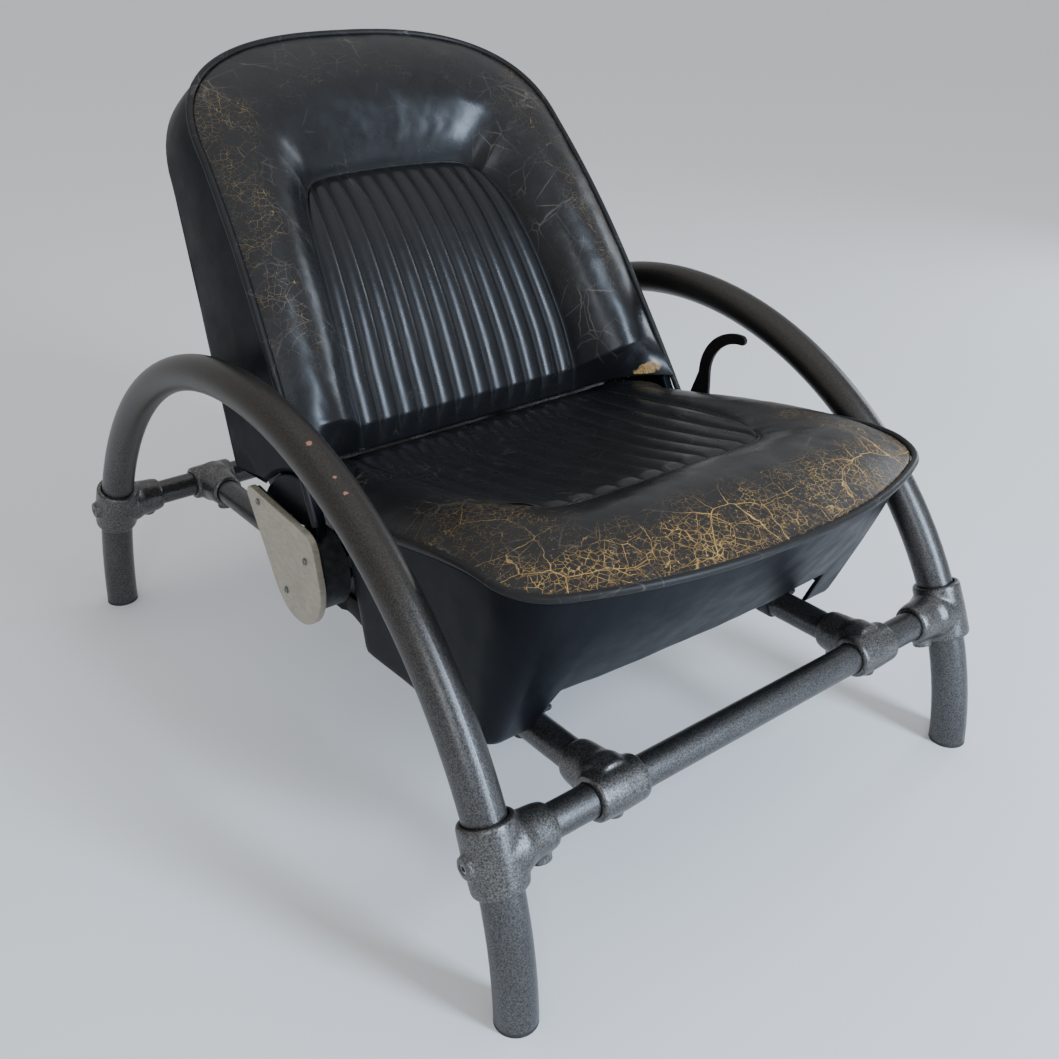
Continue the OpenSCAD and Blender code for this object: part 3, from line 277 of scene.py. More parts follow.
def lights():
    world = bpy.data.worlds.new("studio")
    bpy.context.scene.world = world
    world.use_nodes = True
    sky = world.node_tree.nodes["Background"].inputs
    sky["Color"].default_value = WORLD_COLOR
    sky["Strength"].default_value = WORLD_STRENGTH
    for name, where, aim, size, power, color in LAMPS:
        data = bpy.data.lights.new(name, "AREA")
        data.shape = "RECTANGLE"
        data.size, data.size_y = size
        data.energy = power
        data.color = color
        lamp = link(name, data)
        lamp.location = where
        lamp.rotation_euler = (Vector(aim) - Vector(where)).to_track_quat("-Z", "Y").to_euler()
    overhead = bpy.data.lights.new("sky", "SUN")
    overhead.energy = SKY_POWER
    overhead.angle = math.radians(SKY_ANGLE)
    link("sky", overhead)


def floor():
    mesh = bpy.data.meshes.new("floor")
    corners = [(x * FLOOR_HALF, y * FLOOR_HALF, 0) for x, y in ((-1, -1), (1, -1), (1, 1), (-1, 1))]
    mesh.from_pydata(corners, [], [(0, 1, 2, 3)])
    plane = link("floor", mesh)
    mat = bpy.data.materials.new("floor")
    mat.use_nodes = True
    sockets = mat.node_tree.nodes["Principled BSDF"].inputs
    sockets["Base Color"].default_value = (FLOOR_GREY, FLOOR_GREY, FLOOR_GREY, 1)
    sockets["Roughness"].default_value = FLOOR_ROUGH
    mesh.materials.append(mat)


camera()
lights()
floor()


# --- materials

EDGE = "DISTANCE_TO_EDGE"
METAL_SHARE = 0.86


class Nodes:
    """Short hand for building a node tree."""

    def __init__(self, name):
        self.mat = bpy.data.materials.new(name)
        self.mat.use_nodes = True
        self.tree = self.mat.node_tree
        self.bsdf = self.tree.nodes["Principled BSDF"]
        self.coord = self.tree.nodes.new("ShaderNodeTexCoord").outputs["Object"]

    def add(self, kind, inputs=None, **props):
        n = self.tree.nodes.new("ShaderNode" + kind)
        for k, v in props.items():
            setattr(n, k, v)
        for k, v in (inputs or {}).items():
            self.put(n.inputs[k], v)
        return n

    def put(self, socket, v):
        if isinstance(v, bpy.types.NodeSocket):
            self.tree.links.new(v, socket)
        else:
            socket.default_value = v

    def noise(self, scale, detail=4, rough=0.55, coord=None, distortion=0.0):
        n = self.add("TexNoise", {"Scale": scale, "Detail": detail, "Roughness": rough,
                                  "Distortion": distortion, "Vector": coord or self.coord})
        return n.outputs["Fac"]

    def cells(self, scale, feature="F1", coord=None, random=1.0):
        n = self.add("TexVoronoi", {"Scale": scale, "Randomness": random,
                                    "Vector": coord or self.coord}, feature=feature)
        return n.outputs["Distance"]

    def curve(self, fac, stops):
        n = self.add("ValToRGB", {"Fac": fac})
        r = n.color_ramp
        while len(r.elements) < len(stops):
            r.elements.new(0.5)
        for e, (pos, c) in zip(r.elements, stops):
            e.position = pos
            e.color = (c, c, c, 1) if isinstance(c, (int, float)) else (*c, 1)
        return n.outputs["Color"]

    def ramp(self, fac, low, high, start=0.0, end=1.0):
        """From start at low to end at high."""
        return self.curve(fac, [(low, start), (high, end)])

    def math(self, op, a, b=0.0, clamp=False):
        n = self.add("Math", {0: a, 1: b}, operation=op)
        n.use_clamp = clamp
        return n.outputs[0]

    def times(self, a, b, clamp=False):
        return self.math("MULTIPLY", a, b, clamp)

    def plus(self, a, b, clamp=False):
        return self.math("ADD", a, b, clamp)

    def most(self, a, b):
        return self.math("MAXIMUM", a, b)

    def mix(self, fac, a, b):
        n = self.add("Mix", data_type="RGBA")
        self.put(n.inputs[0], fac)
        for s, v in ((n.inputs[6], a), (n.inputs[7], b)):
            self.put(s, (*v, 1) if isinstance(v, tuple) else v)
        return n.outputs[2]

    def warp(self, scale, amount, detail=2):
        n = self.add("TexNoise", {"Scale": scale, "Detail": detail, "Vector": self.coord})
        c = self.add("VectorMath", {0: n.outputs["Color"], 1: (0.5, 0.5, 0.5)}, operation="SUBTRACT")
        k = self.add("VectorMath", {0: c.outputs[0], "Scale": amount}, operation="SCALE")
        return self.add("VectorMath", {0: self.coord, 1: k.outputs[0]}, operation="ADD").outputs[0]

    def stretch(self, scale, rotation=(0, 0, 0), coord=None):
        n = self.add("Mapping", {"Vector": coord or self.coord, "Scale": scale, "Rotation": rotation})
        return n.outputs[0]

    def attr(self, name):
        return self.add("Attribute", attribute_name=name).outputs["Fac"]

    def bump(self, height, strength, distance, under=None):
        n = self.add("Bump", {"Height": height, "Strength": strength, "Distance": distance})
        if under is not None:
            self.put(n.inputs["Normal"], under)
        return n.outputs[0]

    def out(self, **sockets):
        for k, v in sockets.items():
            s = self.bsdf.inputs[k.replace("_", " ")]
            self.put(s, (*v, 1) if isinstance(v, tuple) and len(v) == 3 else v)
        return self.mat


def leather(name, base=(0.0070, 0.0071, 0.0078), gloss=0.23, worn=True, ior=1.40):
    """Old black leather: fine grain, creases, pale scratches and tan cracks where it is worn."""
    n = Nodes(name)
    wear = n.attr("wear") if worn else 0.0
    scuff = n.attr("scuff") if worn else 0.0
    bent, bent2 = n.warp(38, 0.012, 3), n.warp(60, 0.004)

    def crack(scale, width, coord, spread, low, high, reach):
        """Cell borders whose width grows with wear and breaks up with noise."""
        border = n.cells(scale, EDGE, coord)
        where = n.ramp(n.noise(spread, 3, 0.6, n.stretch((1, 1, 1), (low * 5, high * 3, 0.7))), low, high)
        grow = n.times(where, n.ramp(wear, reach, 1.0))
        wide = n.plus(n.times(grow, width * scale), 0.00001)
        return n.math("SUBTRACT", 1.0, n.math("DIVIDE", border, wide), True)

    long = crack(17, 0.00085, bent, 11, 0.40, 0.62, 0.30)
    mid = crack(52, 0.00052, bent2, 19, 0.42, 0.66, 0.30)
    tiny = crack(135, 0.00046, n.warp(110, 0.0016), 26, 0.44, 0.62, 0.12)
    speck = n.times(n.ramp(n.noise(380, 3, 0.6), 0.62, 0.70),
                    n.ramp(n.times(n.noise(21, 4, 0.7), wear), 0.22, 0.42, 0.0, 0.9))
    cracks = n.most(n.most(n.most(long, mid), n.times(tiny, 0.75)), speck)

    hair1 = n.curve(n.cells(24, EDGE, n.stretch((1, 0.25, 0.5), (0.3, 0.6, 0.9), bent)),
                    [(0.0, 1.0), (0.006, 0.6), (0.013, 0.0)])
    hair2 = n.curve(n.cells(40, EDGE, n.stretch((0.3, 1, 0.6), (1.3, 0.2, 0.5), bent2)),
                    [(0.0, 1.0), (0.008, 0.5), (0.019, 0.0)])
    spot = n.noise(17, 3, 0.6, n.stretch((1, 1, 1), (1.0, 0.3, 2.0)))
    spot = n.ramp(n.plus(spot, n.times(scuff, 0.22)), 0.60, 0.86, 0.0, 0.8)
    hairs = n.times(n.most(hair1, hair2), spot) if worn else 0.0
    rub = n.times(n.noise(120, 6, 0.7, bent2), n.ramp(wear, 0.55, 1.0))
    rubbed = n.ramp(rub, 0.54, 0.70, 0.0, 0.7)
    dusty = n.times(n.ramp(wear, 0.0, 1.0), n.ramp(n.noise(60, 5, 0.7), 0.3, 0.7, 0.45, 1.0))

    dust, scratch, bare, channel_shade = ((0.019, 0.0155, 0.0125), (0.12, 0.105, 0.085), (0.23, 0.125, 0.043),
                                    (0.0012, 0.0012, 0.0013))
    col = n.mix(n.ramp(n.noise(9, 3), 0.35, 0.75), base, tuple(c * 1.6 for c in base))
    col = n.mix(dusty, col, dust)
    col = n.mix(hairs, col, scratch)
    gold = n.mix(n.ramp(n.noise(70, 4, 0.6), 0.35, 0.65), (0.25, 0.135, 0.035), (0.66, 0.40, 0.11))
    gold = n.mix(n.ramp(wear, 0.25, 0.8), (0.17, 0.125, 0.075), gold)
    col = n.mix(rubbed, col, bare)
    if worn:
        # painted shade: the bottoms of the channels and the insert's seam are darkened almost to black
        groove = n.ramp(n.attr("groove"), 0.15, 0.9)
        col = n.mix(groove, col, channel_shade)
    col = n.mix(cracks, col, gold)
    if worn:
        fibre = n.noise(1.0, 5, 0.7, n.stretch((900, 120, 300), (0.2, 0.5, 0.0)))
        tan = n.mix(n.ramp(fibre, 0.35, 0.65), (0.08, 0.042, 0.015), (0.46, 0.30, 0.12))
        col = n.mix(n.ramp(n.attr("torn"), 0.42, 0.55), col, tan)

    rough = n.plus(n.times(n.ramp(n.noise(30, 5, 0.6), 0.3, 0.75), 0.13), gloss)
    rough = n.plus(n.plus(rough, n.times(wear, 0.12)), n.times(cracks, 0.25))
    if worn:
        rough = n.plus(rough, n.times(groove, 0.4), True)
    b = n.bump(n.cells(820), 0.07, 0.0004)
    b = n.bump(n.noise(1.0, 5, 0.6, n.stretch((34, 26, 30)), 1.2), 0.14, 0.0016, b)
    b = n.bump(n.math("SUBTRACT", 1.0, cracks), 0.2, 0.0004, b)
    return n.out(Base_Color=col, Roughness=rough, Normal=b, IOR=ior)


def hammered(name, dark=(0.050, 0.049, 0.049), light=(0.138, 0.135, 0.134), coarse=1.0, chips=(),
             relief=0.13):
    """Hammered grey paint: bright flecks in a dark ground; towards the top it turns browner, smoother and
    darker, partly where hands rub it and partly as painted shade.

    chips are the places where it has rusted through, each with its size, in metres.
    """
    n = Nodes(name)
    fleck = n.noise(640 * coarse, 3, 0.6)
    blot = n.noise(14, 4, 0.6)
    z = n.add("SeparateXYZ", {"Vector": n.coord}).outputs["Z"]
    # towards the top the colour turns browner from hand wear and darker as painted shade on the upward faces
    high = n.ramp(n.times(n.plus(z, n.times(blot, 0.12)), 2.0, True), 0.62, 0.90)
    ground = n.mix(n.ramp(fleck, 0.38, 0.64), dark, light)
    rubbed = n.mix(n.ramp(fleck, 0.3, 0.75), (0.038, 0.034, 0.031), (0.085, 0.077, 0.068))
    col = n.mix(high, ground, rubbed)
    col = n.mix(n.ramp(blot, 0.35, 0.6, 0.25, 0.0), col, (0.05, 0.047, 0.043))
    metal = METAL_SHARE
    if chips:
        rust = 0.0
        for where, size in chips:
            off = n.add("VectorMath", {0: n.warp(300, 0.004), 1: where}, operation="DISTANCE")
            near = n.times(off.outputs["Value"], 1.0 / size)
            rust = n.most(rust, n.ramp(near, 0.45, 0.62, 1.0, 0.0))
        col = n.mix(rust, col, n.mix(fleck, (0.16, 0.055, 0.03), (0.42, 0.20, 0.14)))
        metal = n.math("SUBTRACT", METAL_SHARE, n.times(rust, 0.8))
    rough = n.plus(n.times(n.ramp(fleck, 0.3, 0.7), 0.10), 0.31)
    b = n.bump(n.noise(170, 3), 0.08, 0.0008, n.bump(fleck, relief, 0.0005))
    return n.out(Base_Color=col, Roughness=rough, Metallic=metal, Normal=b)


def plain_metal(name, color, rough, metallic=1.0):
    """Brushed metal, darker by half in blotches."""
    n = Nodes(name)
    brushed = n.noise(1.0, 4, 0.6, n.stretch((240, 900, 240)))
    col = n.mix(n.ramp(n.noise(90, 5, 0.6), 0.35, 0.65), tuple(c * 0.5 for c in color), color)
    rgh = n.plus(n.times(brushed, 0.22), rough)
    return n.out(Base_Color=col, Roughness=rgh, Metallic=metallic, Normal=n.bump(brushed, 0.12, 0.0003))


def silver_paint(name):
    """Matt silver casing with faint rub marks and soiled blotches."""
    n = Nodes(name)
    rub = n.noise(1.0, 5, 0.65, n.stretch((60, 60, 150), (0.5, 0.2, 0.0)), 1.2)
    col = n.mix(n.ramp(rub, 0.35, 0.7), (0.31, 0.275, 0.215), (0.43, 0.385, 0.305))
    col = n.mix(n.ramp(n.noise(22, 4), 0.55, 0.8, 0.0, 0.35), col, (0.23, 0.20, 0.16))
    rgh = n.plus(n.times(rub, 0.2), 0.38)
    return n.out(Base_Color=col, Roughness=rgh, Metallic=0.35, Normal=n.bump(n.noise(900, 3), 0.10, 0.0003))


def rubber(name, color):
    n = Nodes(name)
    a = n.noise(60, 5, 0.6)
    col = n.mix(n.ramp(a, 0.35, 0.7), tuple(c * 0.6 for c in color), color)
    rgh = n.plus(n.times(a, 0.15), 0.7)
    return n.out(Base_Color=col, Roughness=rgh, Normal=n.bump(n.noise(500, 3), 0.15, 0.0004))


def webbing(name):
    n = Nodes(name)
    weave = n.cells(420, random=0.15)
    col = n.mix(n.ramp(weave, 0.2, 0.7), (0.035, 0.033, 0.030), (0.010, 0.010, 0.010))
    return n.out(Base_Color=col, Roughness=0.85, Normal=n.bump(weave, 0.4, 0.0005))


# Chips of the right arch: place and size, in metres
CHIPS = [((-0.3390, -0.1620, 0.4655), 0.0055), ((-0.3395, -0.2085, 0.4465), 0.0035),
         ((-0.3390, -0.2280, 0.4370), 0.0038)]
LEATHER = leather("leather_worn")
LEATHER_PLAIN = leather("leather_plain", base=(0.0042, 0.0048, 0.0065), gloss=0.34, worn=False, ior=1.17)
PIPING = leather("leather_piping", base=(0.011, 0.0105, 0.010), gloss=0.36, ior=1.3)
TUBE = hammered("hammered_tube")
TUBE_CHIPPED = hammered("hammered_tube_chipped", chips=CHIPS)
CASTING = hammered("hammered_casting", (0.058, 0.056, 0.054), (0.195, 0.189, 0.182), 0.9, relief=0.16)
STEEL = plain_metal("zinc_steel", (0.42, 0.42, 0.41), 0.32)
DARK_STEEL = plain_metal("black_steel", (0.05, 0.05, 0.052), 0.42, 0.6)
SPRING = plain_metal("spring_steel", (0.22, 0.23, 0.26), 0.30)
SILVER = silver_paint("silver_casing")
LEVER_BLACK = plain_metal("lever_black", (0.022, 0.021, 0.022), 0.34, 0.5)
RUBBER = rubber("rubber_plug", (0.035, 0.034, 0.033))
WEBBING = webbing("webbing")


# --- geometry of both seats, in mm

# Axle of the backrest, in y and z
PIVOT = (-22.0, 247.0)
SEAT_ARC, BACK_ARC = 111.2, 114.5
CREASE, WING, ARC_FOOT = 55.0, 98.0, 24.0
COLS, ROWS = 36, 8
RIM_IN, RIM_DOWN, SHELL_WALL, FOAM_IN, FOAM_DOWN = 4.2, 4.6, 5.0, 10.5, 3.9
FLUTE_H, FLUTE_SHARP, FLUTE_COLS = 5.0, 0.55, 3.0


def on_arc(r, angle):
    return PIVOT[0] + r * cosd(angle), PIVOT[1] + r * sind(angle)


def outline_t(h, start, c):
    """Place on an outline at h along half a seam: ROWS cells of side, then half of the columns."""
    return lerp(start, c, h / ROWS) if h <= ROWS else lerp(c, 1.0, (h - ROWS) / (COLS / 2))


def seat_t(h):
    return outline_t(h, 0, SEAT_CORNER_T)


def back_t(h):
    return outline_t(h, BACK_T0, BACK_CORNER_T)


def flute(i):
    """0 in the channels between the flutes and 1 on their tops."""
    return abs(math.sin(math.pi * i / FLUTE_COLS))


def fluting(i):
    return FLUTE_H * flute(i) ** FLUTE_SHARP


SEAT_HALF_W, SEAT_FRONT, SEAT_SLOPE, SEAT_Z = 285.0, 488.0, 0.1475, 346.6
SIDE_Y, CORNER_R, NOTCH_W, BOW_R = -37.0, 73.0, 35.0, 592.0
CORNER_X = SEAT_HALF_W - CORNER_R
BOW_Y = BOW_R - SEAT_FRONT
BOW_ANGLE = math.degrees(math.asin(CORNER_X / (BOW_R - CORNER_R)))
CORNER_Y = BOW_Y - (BOW_R - CORNER_R) * cosd(BOW_ANGLE)


def past_notch(y):
    """0 beside the backrest and 1 in front of it, where the seat is full wide."""
    return smooth((-y - 80) / 35)


WELT_Z, WELT_RISE, WELT_DIP = 345, 45, 5


def seat_side(y):
    return SEAT_HALF_W - NOTCH_W * (1 - past_notch(y))


def seat_welt_z(y):
    """Height of the seat's seam: it rises to the front and dips at the front edge."""
    return WELT_Z + WELT_RISE * smooth((-y - 60) / 320) - WELT_DIP * smooth((-y - 340) / 90)


def bowed(t, e, side_y, corner, half_w, turn=0.5, straight=0.62):
    """Outline with straight sides, a round corner and a bowed front."""
    cx, cy, cr, br, by, ba = corner
    if t < turn:
        y = lerp(side_y, cy, t / turn)
        return half_w(y) - e, y
    if t < straight:
        phi = lerp(90, ba, (t - turn) / (straight - turn))
        return cx + (cr - e) * sind(phi), cy - (cr - e) * cosd(phi)
    phi = lerp(ba, 0, (t - straight) / (1 - straight))
    return (br - e) * sind(phi), by - (br - e) * cosd(phi)


SEAT_CORNER = (CORNER_X, CORNER_Y, CORNER_R, BOW_R, BOW_Y, BOW_ANGLE)


def seat_outline(t, e):
    return bowed(t, e, SIDE_Y, SEAT_CORNER, seat_side)


BASE_LOW_Z, BASE_HALF_W, BASE_REAR_W = 176.0, 265.0, 246.0
BASE_FRONT, BASE_CR, BASE_BR = 341.0, 24.0, 20000.0
BASE_CX = BASE_HALF_W - BASE_CR
BASE_BY = BASE_BR - BASE_FRONT
BASE_BA = math.degrees(math.asin(BASE_CX / (BASE_BR - BASE_CR)))
BASE_CORNER = (BASE_CX, BASE_BY - (BASE_BR - BASE_CR) * cosd(BASE_BA), BASE_CR, BASE_BR, BASE_BY, BASE_BA)


def base_outline(t, e):
    return bowed(t, e, SIDE_Y, BASE_CORNER, lambda y: lerp(BASE_REAR_W, BASE_HALF_W, past_notch(y)))


def seat_taper(t, e, z):
    """Point of the seat's flank at the height z, between both outlines."""
    a, b = seat_outline(t, e), base_outline(t, e)
    top = seat_welt_z(a[1])
    return mix(a, b, clamp01((top - z) / (top - BASE_LOW_Z)))


# --- quilted cushions

def quilted(across, deep, steps, levels, panel, ring, side, foot):
    """Cushion open below: fluted panel, roll around it and walls. Returns points, faces and places.

    across, deep: cells of the panel; steps: cells of the roll; levels: cells of the walls.
    """
    ci, rj = COLS / across, ROWS / deep
    seam = [(0, j) for j in range(deep)] + [(i, deep) for i in range(across)]
    seam += [(across, j) for j in range(deep, -1, -1)]
    last = len(seam) - 1
    points, place = [], []

    def add(point, *where):
        points.append(point)
        place.append(where)
        return len(points) - 1

    def half(k):
        k = min(k, last - k)
        return k * rj if k <= deep else ROWS + (k - deep) * ci

    def hand(k):
        return -1 if k < last / 2 else 1

    cells = []
    for a in [i * ci for i in range(across + 1)]:
        cells.append([add(panel(a, j * rj), "panel", a, j * rj) for j in range(deep + 1)])
    rolls = [[cells[i][j] for i, j in seam]]
    for f in [r / steps for r in range(1, steps + 1)]:
        rolls.append([add(ring(hand(k), half(k), f, panel(i * ci, j * rj)), "ring", hand(k) * half(k), f)
                      for k, (i, j) in enumerate(seam)])
    heel = [line[0] for line in reversed(rolls)] + [col[0] for col in cells[1:]]
    heel += [line[-1] for line in rolls[1:-1]]
    loops = [rolls[-1] + heel[:0:-1]]
    for v in range(1, levels + 1):
        loop = []
        for k in range(len(loops[0])):
            q = len(loops[0]) - k
            if k <= last:
                point = side(hand(k), half(k), v)
            elif q <= steps:
                point = foot((steps - q) / steps, -1, 0.0, v)
            elif q <= steps + across:
                point = foot(0.0, 0, 2.0 * (q - steps) / across - 1, v)
            else:
                point = foot((q - steps - across) / steps, 1, 0.0, v)
            loop.append(add(point, "wall", k, v))
        loops.append(loop)
    faces = quads(cells, True) + quads(list(zip(*rolls)), True) + quads([lo + lo[:1] for lo in loops])
    return points, faces, place


INSERT_W, INSERT_FRONT, SEAT_LEVELS, SEAT_CORNER_T = 190.0, 309.0, 4, 0.57
FOAM_UNDER = SEAT_Z - 78
DISH = 11.0
SETTLE_OUT, SETTLE_DOWN = 9, 2
# Height of the roll over the seams: rear, corner and middle of the front edge
SEAT_CROWN, BACK_CROWN = (10, 22, 27), (21, 21, 22)


def crown_at(crown, h):
    rear, corner, middle = crown
    return lerp(rear, corner, h / ROWS) if h <= ROWS else lerp(corner, middle, (h - ROWS) / (COLS / 2))


def settled(p):
    """Worn seats are uneven: the left front corner has moved forward and down."""
    w = smooth((p[0] + 60) / 300) * smooth((-p[1] - 150) / 250)
    return p[0], p[1] - SETTLE_OUT * w, p[2] - SETTLE_DOWN * w * smooth((p[2] - 200) / 100)


def seat_foam_z(y):
    return FOAM_UNDER - SEAT_SLOPE * y


def seat_panel(i, j):
    p = 2 * i / COLS - 1
    if j < 1:
        c = on_arc(SEAT_ARC, CREASE)
        a = (INSERT_W * p, c[0], c[1])
        b = seat_panel(i, 1)
        return mix(a, b, j)
    q = (j - 1) / (ROWS - 1)
    y = 12 - q * (INSERT_FRONT + 12 - 6 * p * p - 34 * p ** 8 * q ** 4)
    x = INSERT_W * p * (1 - 0.16 * q ** 6 * p ** 6)
    edge = smooth((1 - q) / 0.05)
    dish = DISH * math.sin(math.pi * clamp01(q * 0.94 + 0.05)) * (1 - p ** 4)
    return x, y, SEAT_Z - SEAT_SLOPE * y + fluting(i) * edge * (0.35 + 0.65 * smooth(q * 1.6)) - dish


def seat_ring(s, h, f, at):
    if h < 1:
        rim = seat_outline(seat_t(0), RIM_IN)[0]
        a = on_arc(SEAT_ARC, lerp(CREASE, WING, f))
        first = (lerp(s * INSERT_W, s * rim, f), a[0], a[1])
        if h <= 0:
            return first
        return mix(first, seat_ring(s, 1.0, f, seat_panel(0 if s < 0 else COLS, 1.0)), h)
    o = seat_outline(seat_t(h), RIM_IN)
    bulge = crown_at(SEAT_CROWN, h) * math.sin(math.pi * f ** 0.85)
    return lerp(at[0], s * o[0], f), lerp(at[1], o[1], f), lerp(at[2], seat_welt_z(o[1]), f) + bulge


def seat_wall(s, h, v):
    if h < 1:
        o = seat_outline(0, RIM_IN)
        a = on_arc(SEAT_ARC, lerp(WING, 8, v / SEAT_LEVELS))
        first = (s * (o[0] - FOAM_IN + RIM_IN), a[0], a[1])
        return first if h <= 0 else mix(first, seat_wall(s, 1.0, v), h)
    t = seat_t(h)
    o = seat_outline(t, RIM_IN)
    z = seat_welt_z(o[1])
    rim = seat_taper(t, FOAM_IN, z - FOAM_DOWN)
    low = seat_taper(t, FOAM_IN + 3, seat_foam_z(o[1]) - 16)
    f = (v - 1) / (SEAT_LEVELS - 1)
    return s * lerp(rim[0], low[0], f), lerp(rim[1], low[1], f), lerp(z - FOAM_DOWN, seat_foam_z(low[1]), f)


def seat_foot(f, s, x, v):
    o = seat_outline(0, RIM_IN)[0]
    a = on_arc(SEAT_ARC, lerp(lerp(CREASE, WING, f), 8, v / SEAT_LEVELS))
    x0 = s * lerp(INSERT_W, o, f) if f > 0 else INSERT_W * x
    return x0 * (o - FOAM_IN + RIM_IN) / o, a[0], a[1]


# backrest

BACK_START, BACK_BEND, BACK_END = (-50.0, 325.0), 240.0, 545.0
LEAN_LOW, LEAN_MID, LEAN_TOP = 30.0, 34.5, 50.0
LOW_R = BACK_BEND / math.radians(LEAN_MID - LEAN_LOW)
TOP_R = (BACK_END - BACK_BEND) / math.radians(LEAN_TOP - LEAN_MID)
MID = (BACK_START[0] + LOW_R * (cosd(LEAN_LOW) - cosd(LEAN_MID)),
       BACK_START[1] + LOW_R * (sind(LEAN_MID) - sind(LEAN_LOW)))
BACK_HALF_W, BACK_LEN, SHOULDER, SHOULDER_T, BACK_T0, BACK_CORNER_T = 285.0, 617.0, 431.0, 0.56, 0.052, 0.66
BACK_TAPER, POWER = 0.05, 0.8
REAR_FOOT, REAR_LEAN, REAR_SHOULDER = (143.6, 318.0), 26.0, 350.0
REAR_LEN, REAR_HALF_W, REAR_TAPER = 512.0, 282.0, 0.055
BACK_LEVELS, BINS_W, BINS_LOW, BINS_TOP, FRAME_SPACE, FOAM_INSET = 5, 167.0, 90.0, 426.0, 31.0, 24.0


def back_lean(s):
    if s < BACK_BEND:
        return lerp(LEAN_LOW, LEAN_MID, s / BACK_BEND)
    return lerp(LEAN_MID, LEAN_TOP, (s - BACK_BEND) / (BACK_END - BACK_BEND))


def back_point(x, s, d):
    a = back_lean(s)
    if s < BACK_BEND:
        y = BACK_START[0] + LOW_R * (cosd(LEAN_LOW) - cosd(a))
        z = BACK_START[1] + LOW_R * (sind(a) - sind(LEAN_LOW))
    else:
        y = MID[0] + TOP_R * (cosd(LEAN_MID) - cosd(a))
        z = MID[1] + TOP_R * (sind(a) - sind(LEAN_MID))
    return x, y - d * cosd(a), z + d * sind(a)


def shouldered(t, e, half_w, taper, shoulder, length, along):
    if t < SHOULDER_T:
        return half_w - taper * along - e, along
    phi = 90 * clamp01((t - SHOULDER_T) / (1 - SHOULDER_T))
    c, s = max(0.0, cosd(phi)), sind(phi)
    return (half_w - taper * shoulder - e) * c ** POWER, shoulder + (length - shoulder - e) * s ** POWER


def back_outline(t, e):
    return shouldered(t, e, BACK_HALF_W, BACK_TAPER, SHOULDER, BACK_LEN, t / SHOULDER_T * SHOULDER)


def rear_outline(t, e):
    w = REAR_SHOULDER * (t - BACK_T0) / (SHOULDER_T - BACK_T0)
    return shouldered(t, e, REAR_HALF_W, REAR_TAPER, REAR_SHOULDER, REAR_LEN, w)


def rear_point(x, w, off):
    return x, REAR_FOOT[0] + w * sind(REAR_LEAN) - off, REAR_FOOT[1] + w * cosd(REAR_LEAN)


def panel_depth(s):
    return 36 + (20 * ((s - 310) / 220) ** 2 if s < 310 else 15 * ((s - 310) / 110) ** 2)


def back_panel_xs(i, j):
    p, q = 2 * i / COLS - 1, max(0.0, (j - 1) / (ROWS - 1))
    s = BINS_LOW + q * (BINS_TOP - BINS_LOW - 11 * p * p - 27 * p ** 8 * q ** 6)
    w = BINS_W - 0.08 * max(0.0, s - 150)
    return p * w * (1 - 0.13 * q ** 7 * p ** 6), s


def back_panel(i, j):
    x, s = back_panel_xs(i, j)
    if j < 1:
        c = on_arc(BACK_ARC, CREASE)
        a = (back_panel_xs(i, 0)[0], c[0], c[1])
        return mix(a, back_panel(i, 1), j)
    q = (j - 1) / (ROWS - 1)
    return back_point(x, s, fluting(i) * smooth((1 - q) / 0.045) - panel_depth(s))


def back_ring(sd, h, f, at):
    if h < 1:
        rim = back_outline(BACK_T0, RIM_IN)[0]
        a = on_arc(BACK_ARC, lerp(CREASE, WING, f))
        first = (lerp(sd * BINS_W, sd * rim, f), a[0], a[1])
        if h <= 0:
            return first
        return mix(first, back_ring(sd, 1.0, f, None), h)
    i, j = (0 if sd < 0 else COLS, h) if h <= ROWS else ((h - ROWS) if sd < 0 else COLS - (h - ROWS), ROWS)
    at = back_panel_xs(i, j)
    o = back_outline(back_t(h), RIM_IN)
    d = crown_at(BACK_CROWN, h) * math.sin(math.pi * f ** 0.8) - panel_depth(at[1]) * (1 - f) ** 2.2
    return back_point(lerp(at[0], sd * o[0], f), lerp(at[1], o[1], f), d)


def foot_angle(a, v):
    return a - 2.2 if v == 1 else lerp(a, ARC_FOOT, (v - 1) / (BACK_LEVELS - 2))


def back_wall(s, h, v):
    t = back_t(max(h, 0))
    o, o2, g = back_outline(t, FOAM_IN), back_outline(t, FOAM_INSET), rear_outline(t, FOAM_INSET)
    back = rear_point(s * g[0], g[1], FRAME_SPACE)
    if v == BACK_LEVELS:
        return back
    if h < 1:
        a = on_arc(BACK_ARC, foot_angle(WING, v))
        o0, g0 = back_outline(BACK_T0, FOAM_IN), rear_outline(BACK_T0, FOAM_INSET)
        first = (s * (o0[0] if v == 1 else g0[0]), a[0], a[1])
        return first if h <= 0 else mix(first, back_wall(s, 1.0, v), h)
    if v == 1:
        return back_point(s * o[0], o[1], -FOAM_DOWN)
    deep = back_point(s * o2[0], o2[1], -14)
    return mix(deep, back, (v - 2) / (BACK_LEVELS - 2))


def back_foot(f, s, p, v):
    edge = back_wall(1, 0, v)
    rim = back_outline(BACK_T0, RIM_IN)[0]
    a = on_arc(BACK_ARC, foot_angle(lerp(CREASE, WING, f), v))
    x = (s * lerp(BINS_W, rim, f) if f > 0 else BINS_W * p) * edge[0] / rim
    return (x, edge[1], edge[2]) if v == BACK_LEVELS else (x, a[0], a[1])


def sewn(place):
    """How free the cover is: 0 at seams, channels and walls."""
    kind, a, b = place
    if kind == "wall":
        return 0.0
    if kind == "panel":
        if b <= 1.0:
            return 0.0
        return smooth((b - 1.0) / 0.5) * smooth(flute(a) / 0.45) * smooth((ROWS - b) / 0.3)
    if abs(a) < 1.0:
        return 0.0
    return smooth((abs(a) - 1.0) / 0.8) * smooth(b / 0.06) * smooth((1 - b) / 0.05)


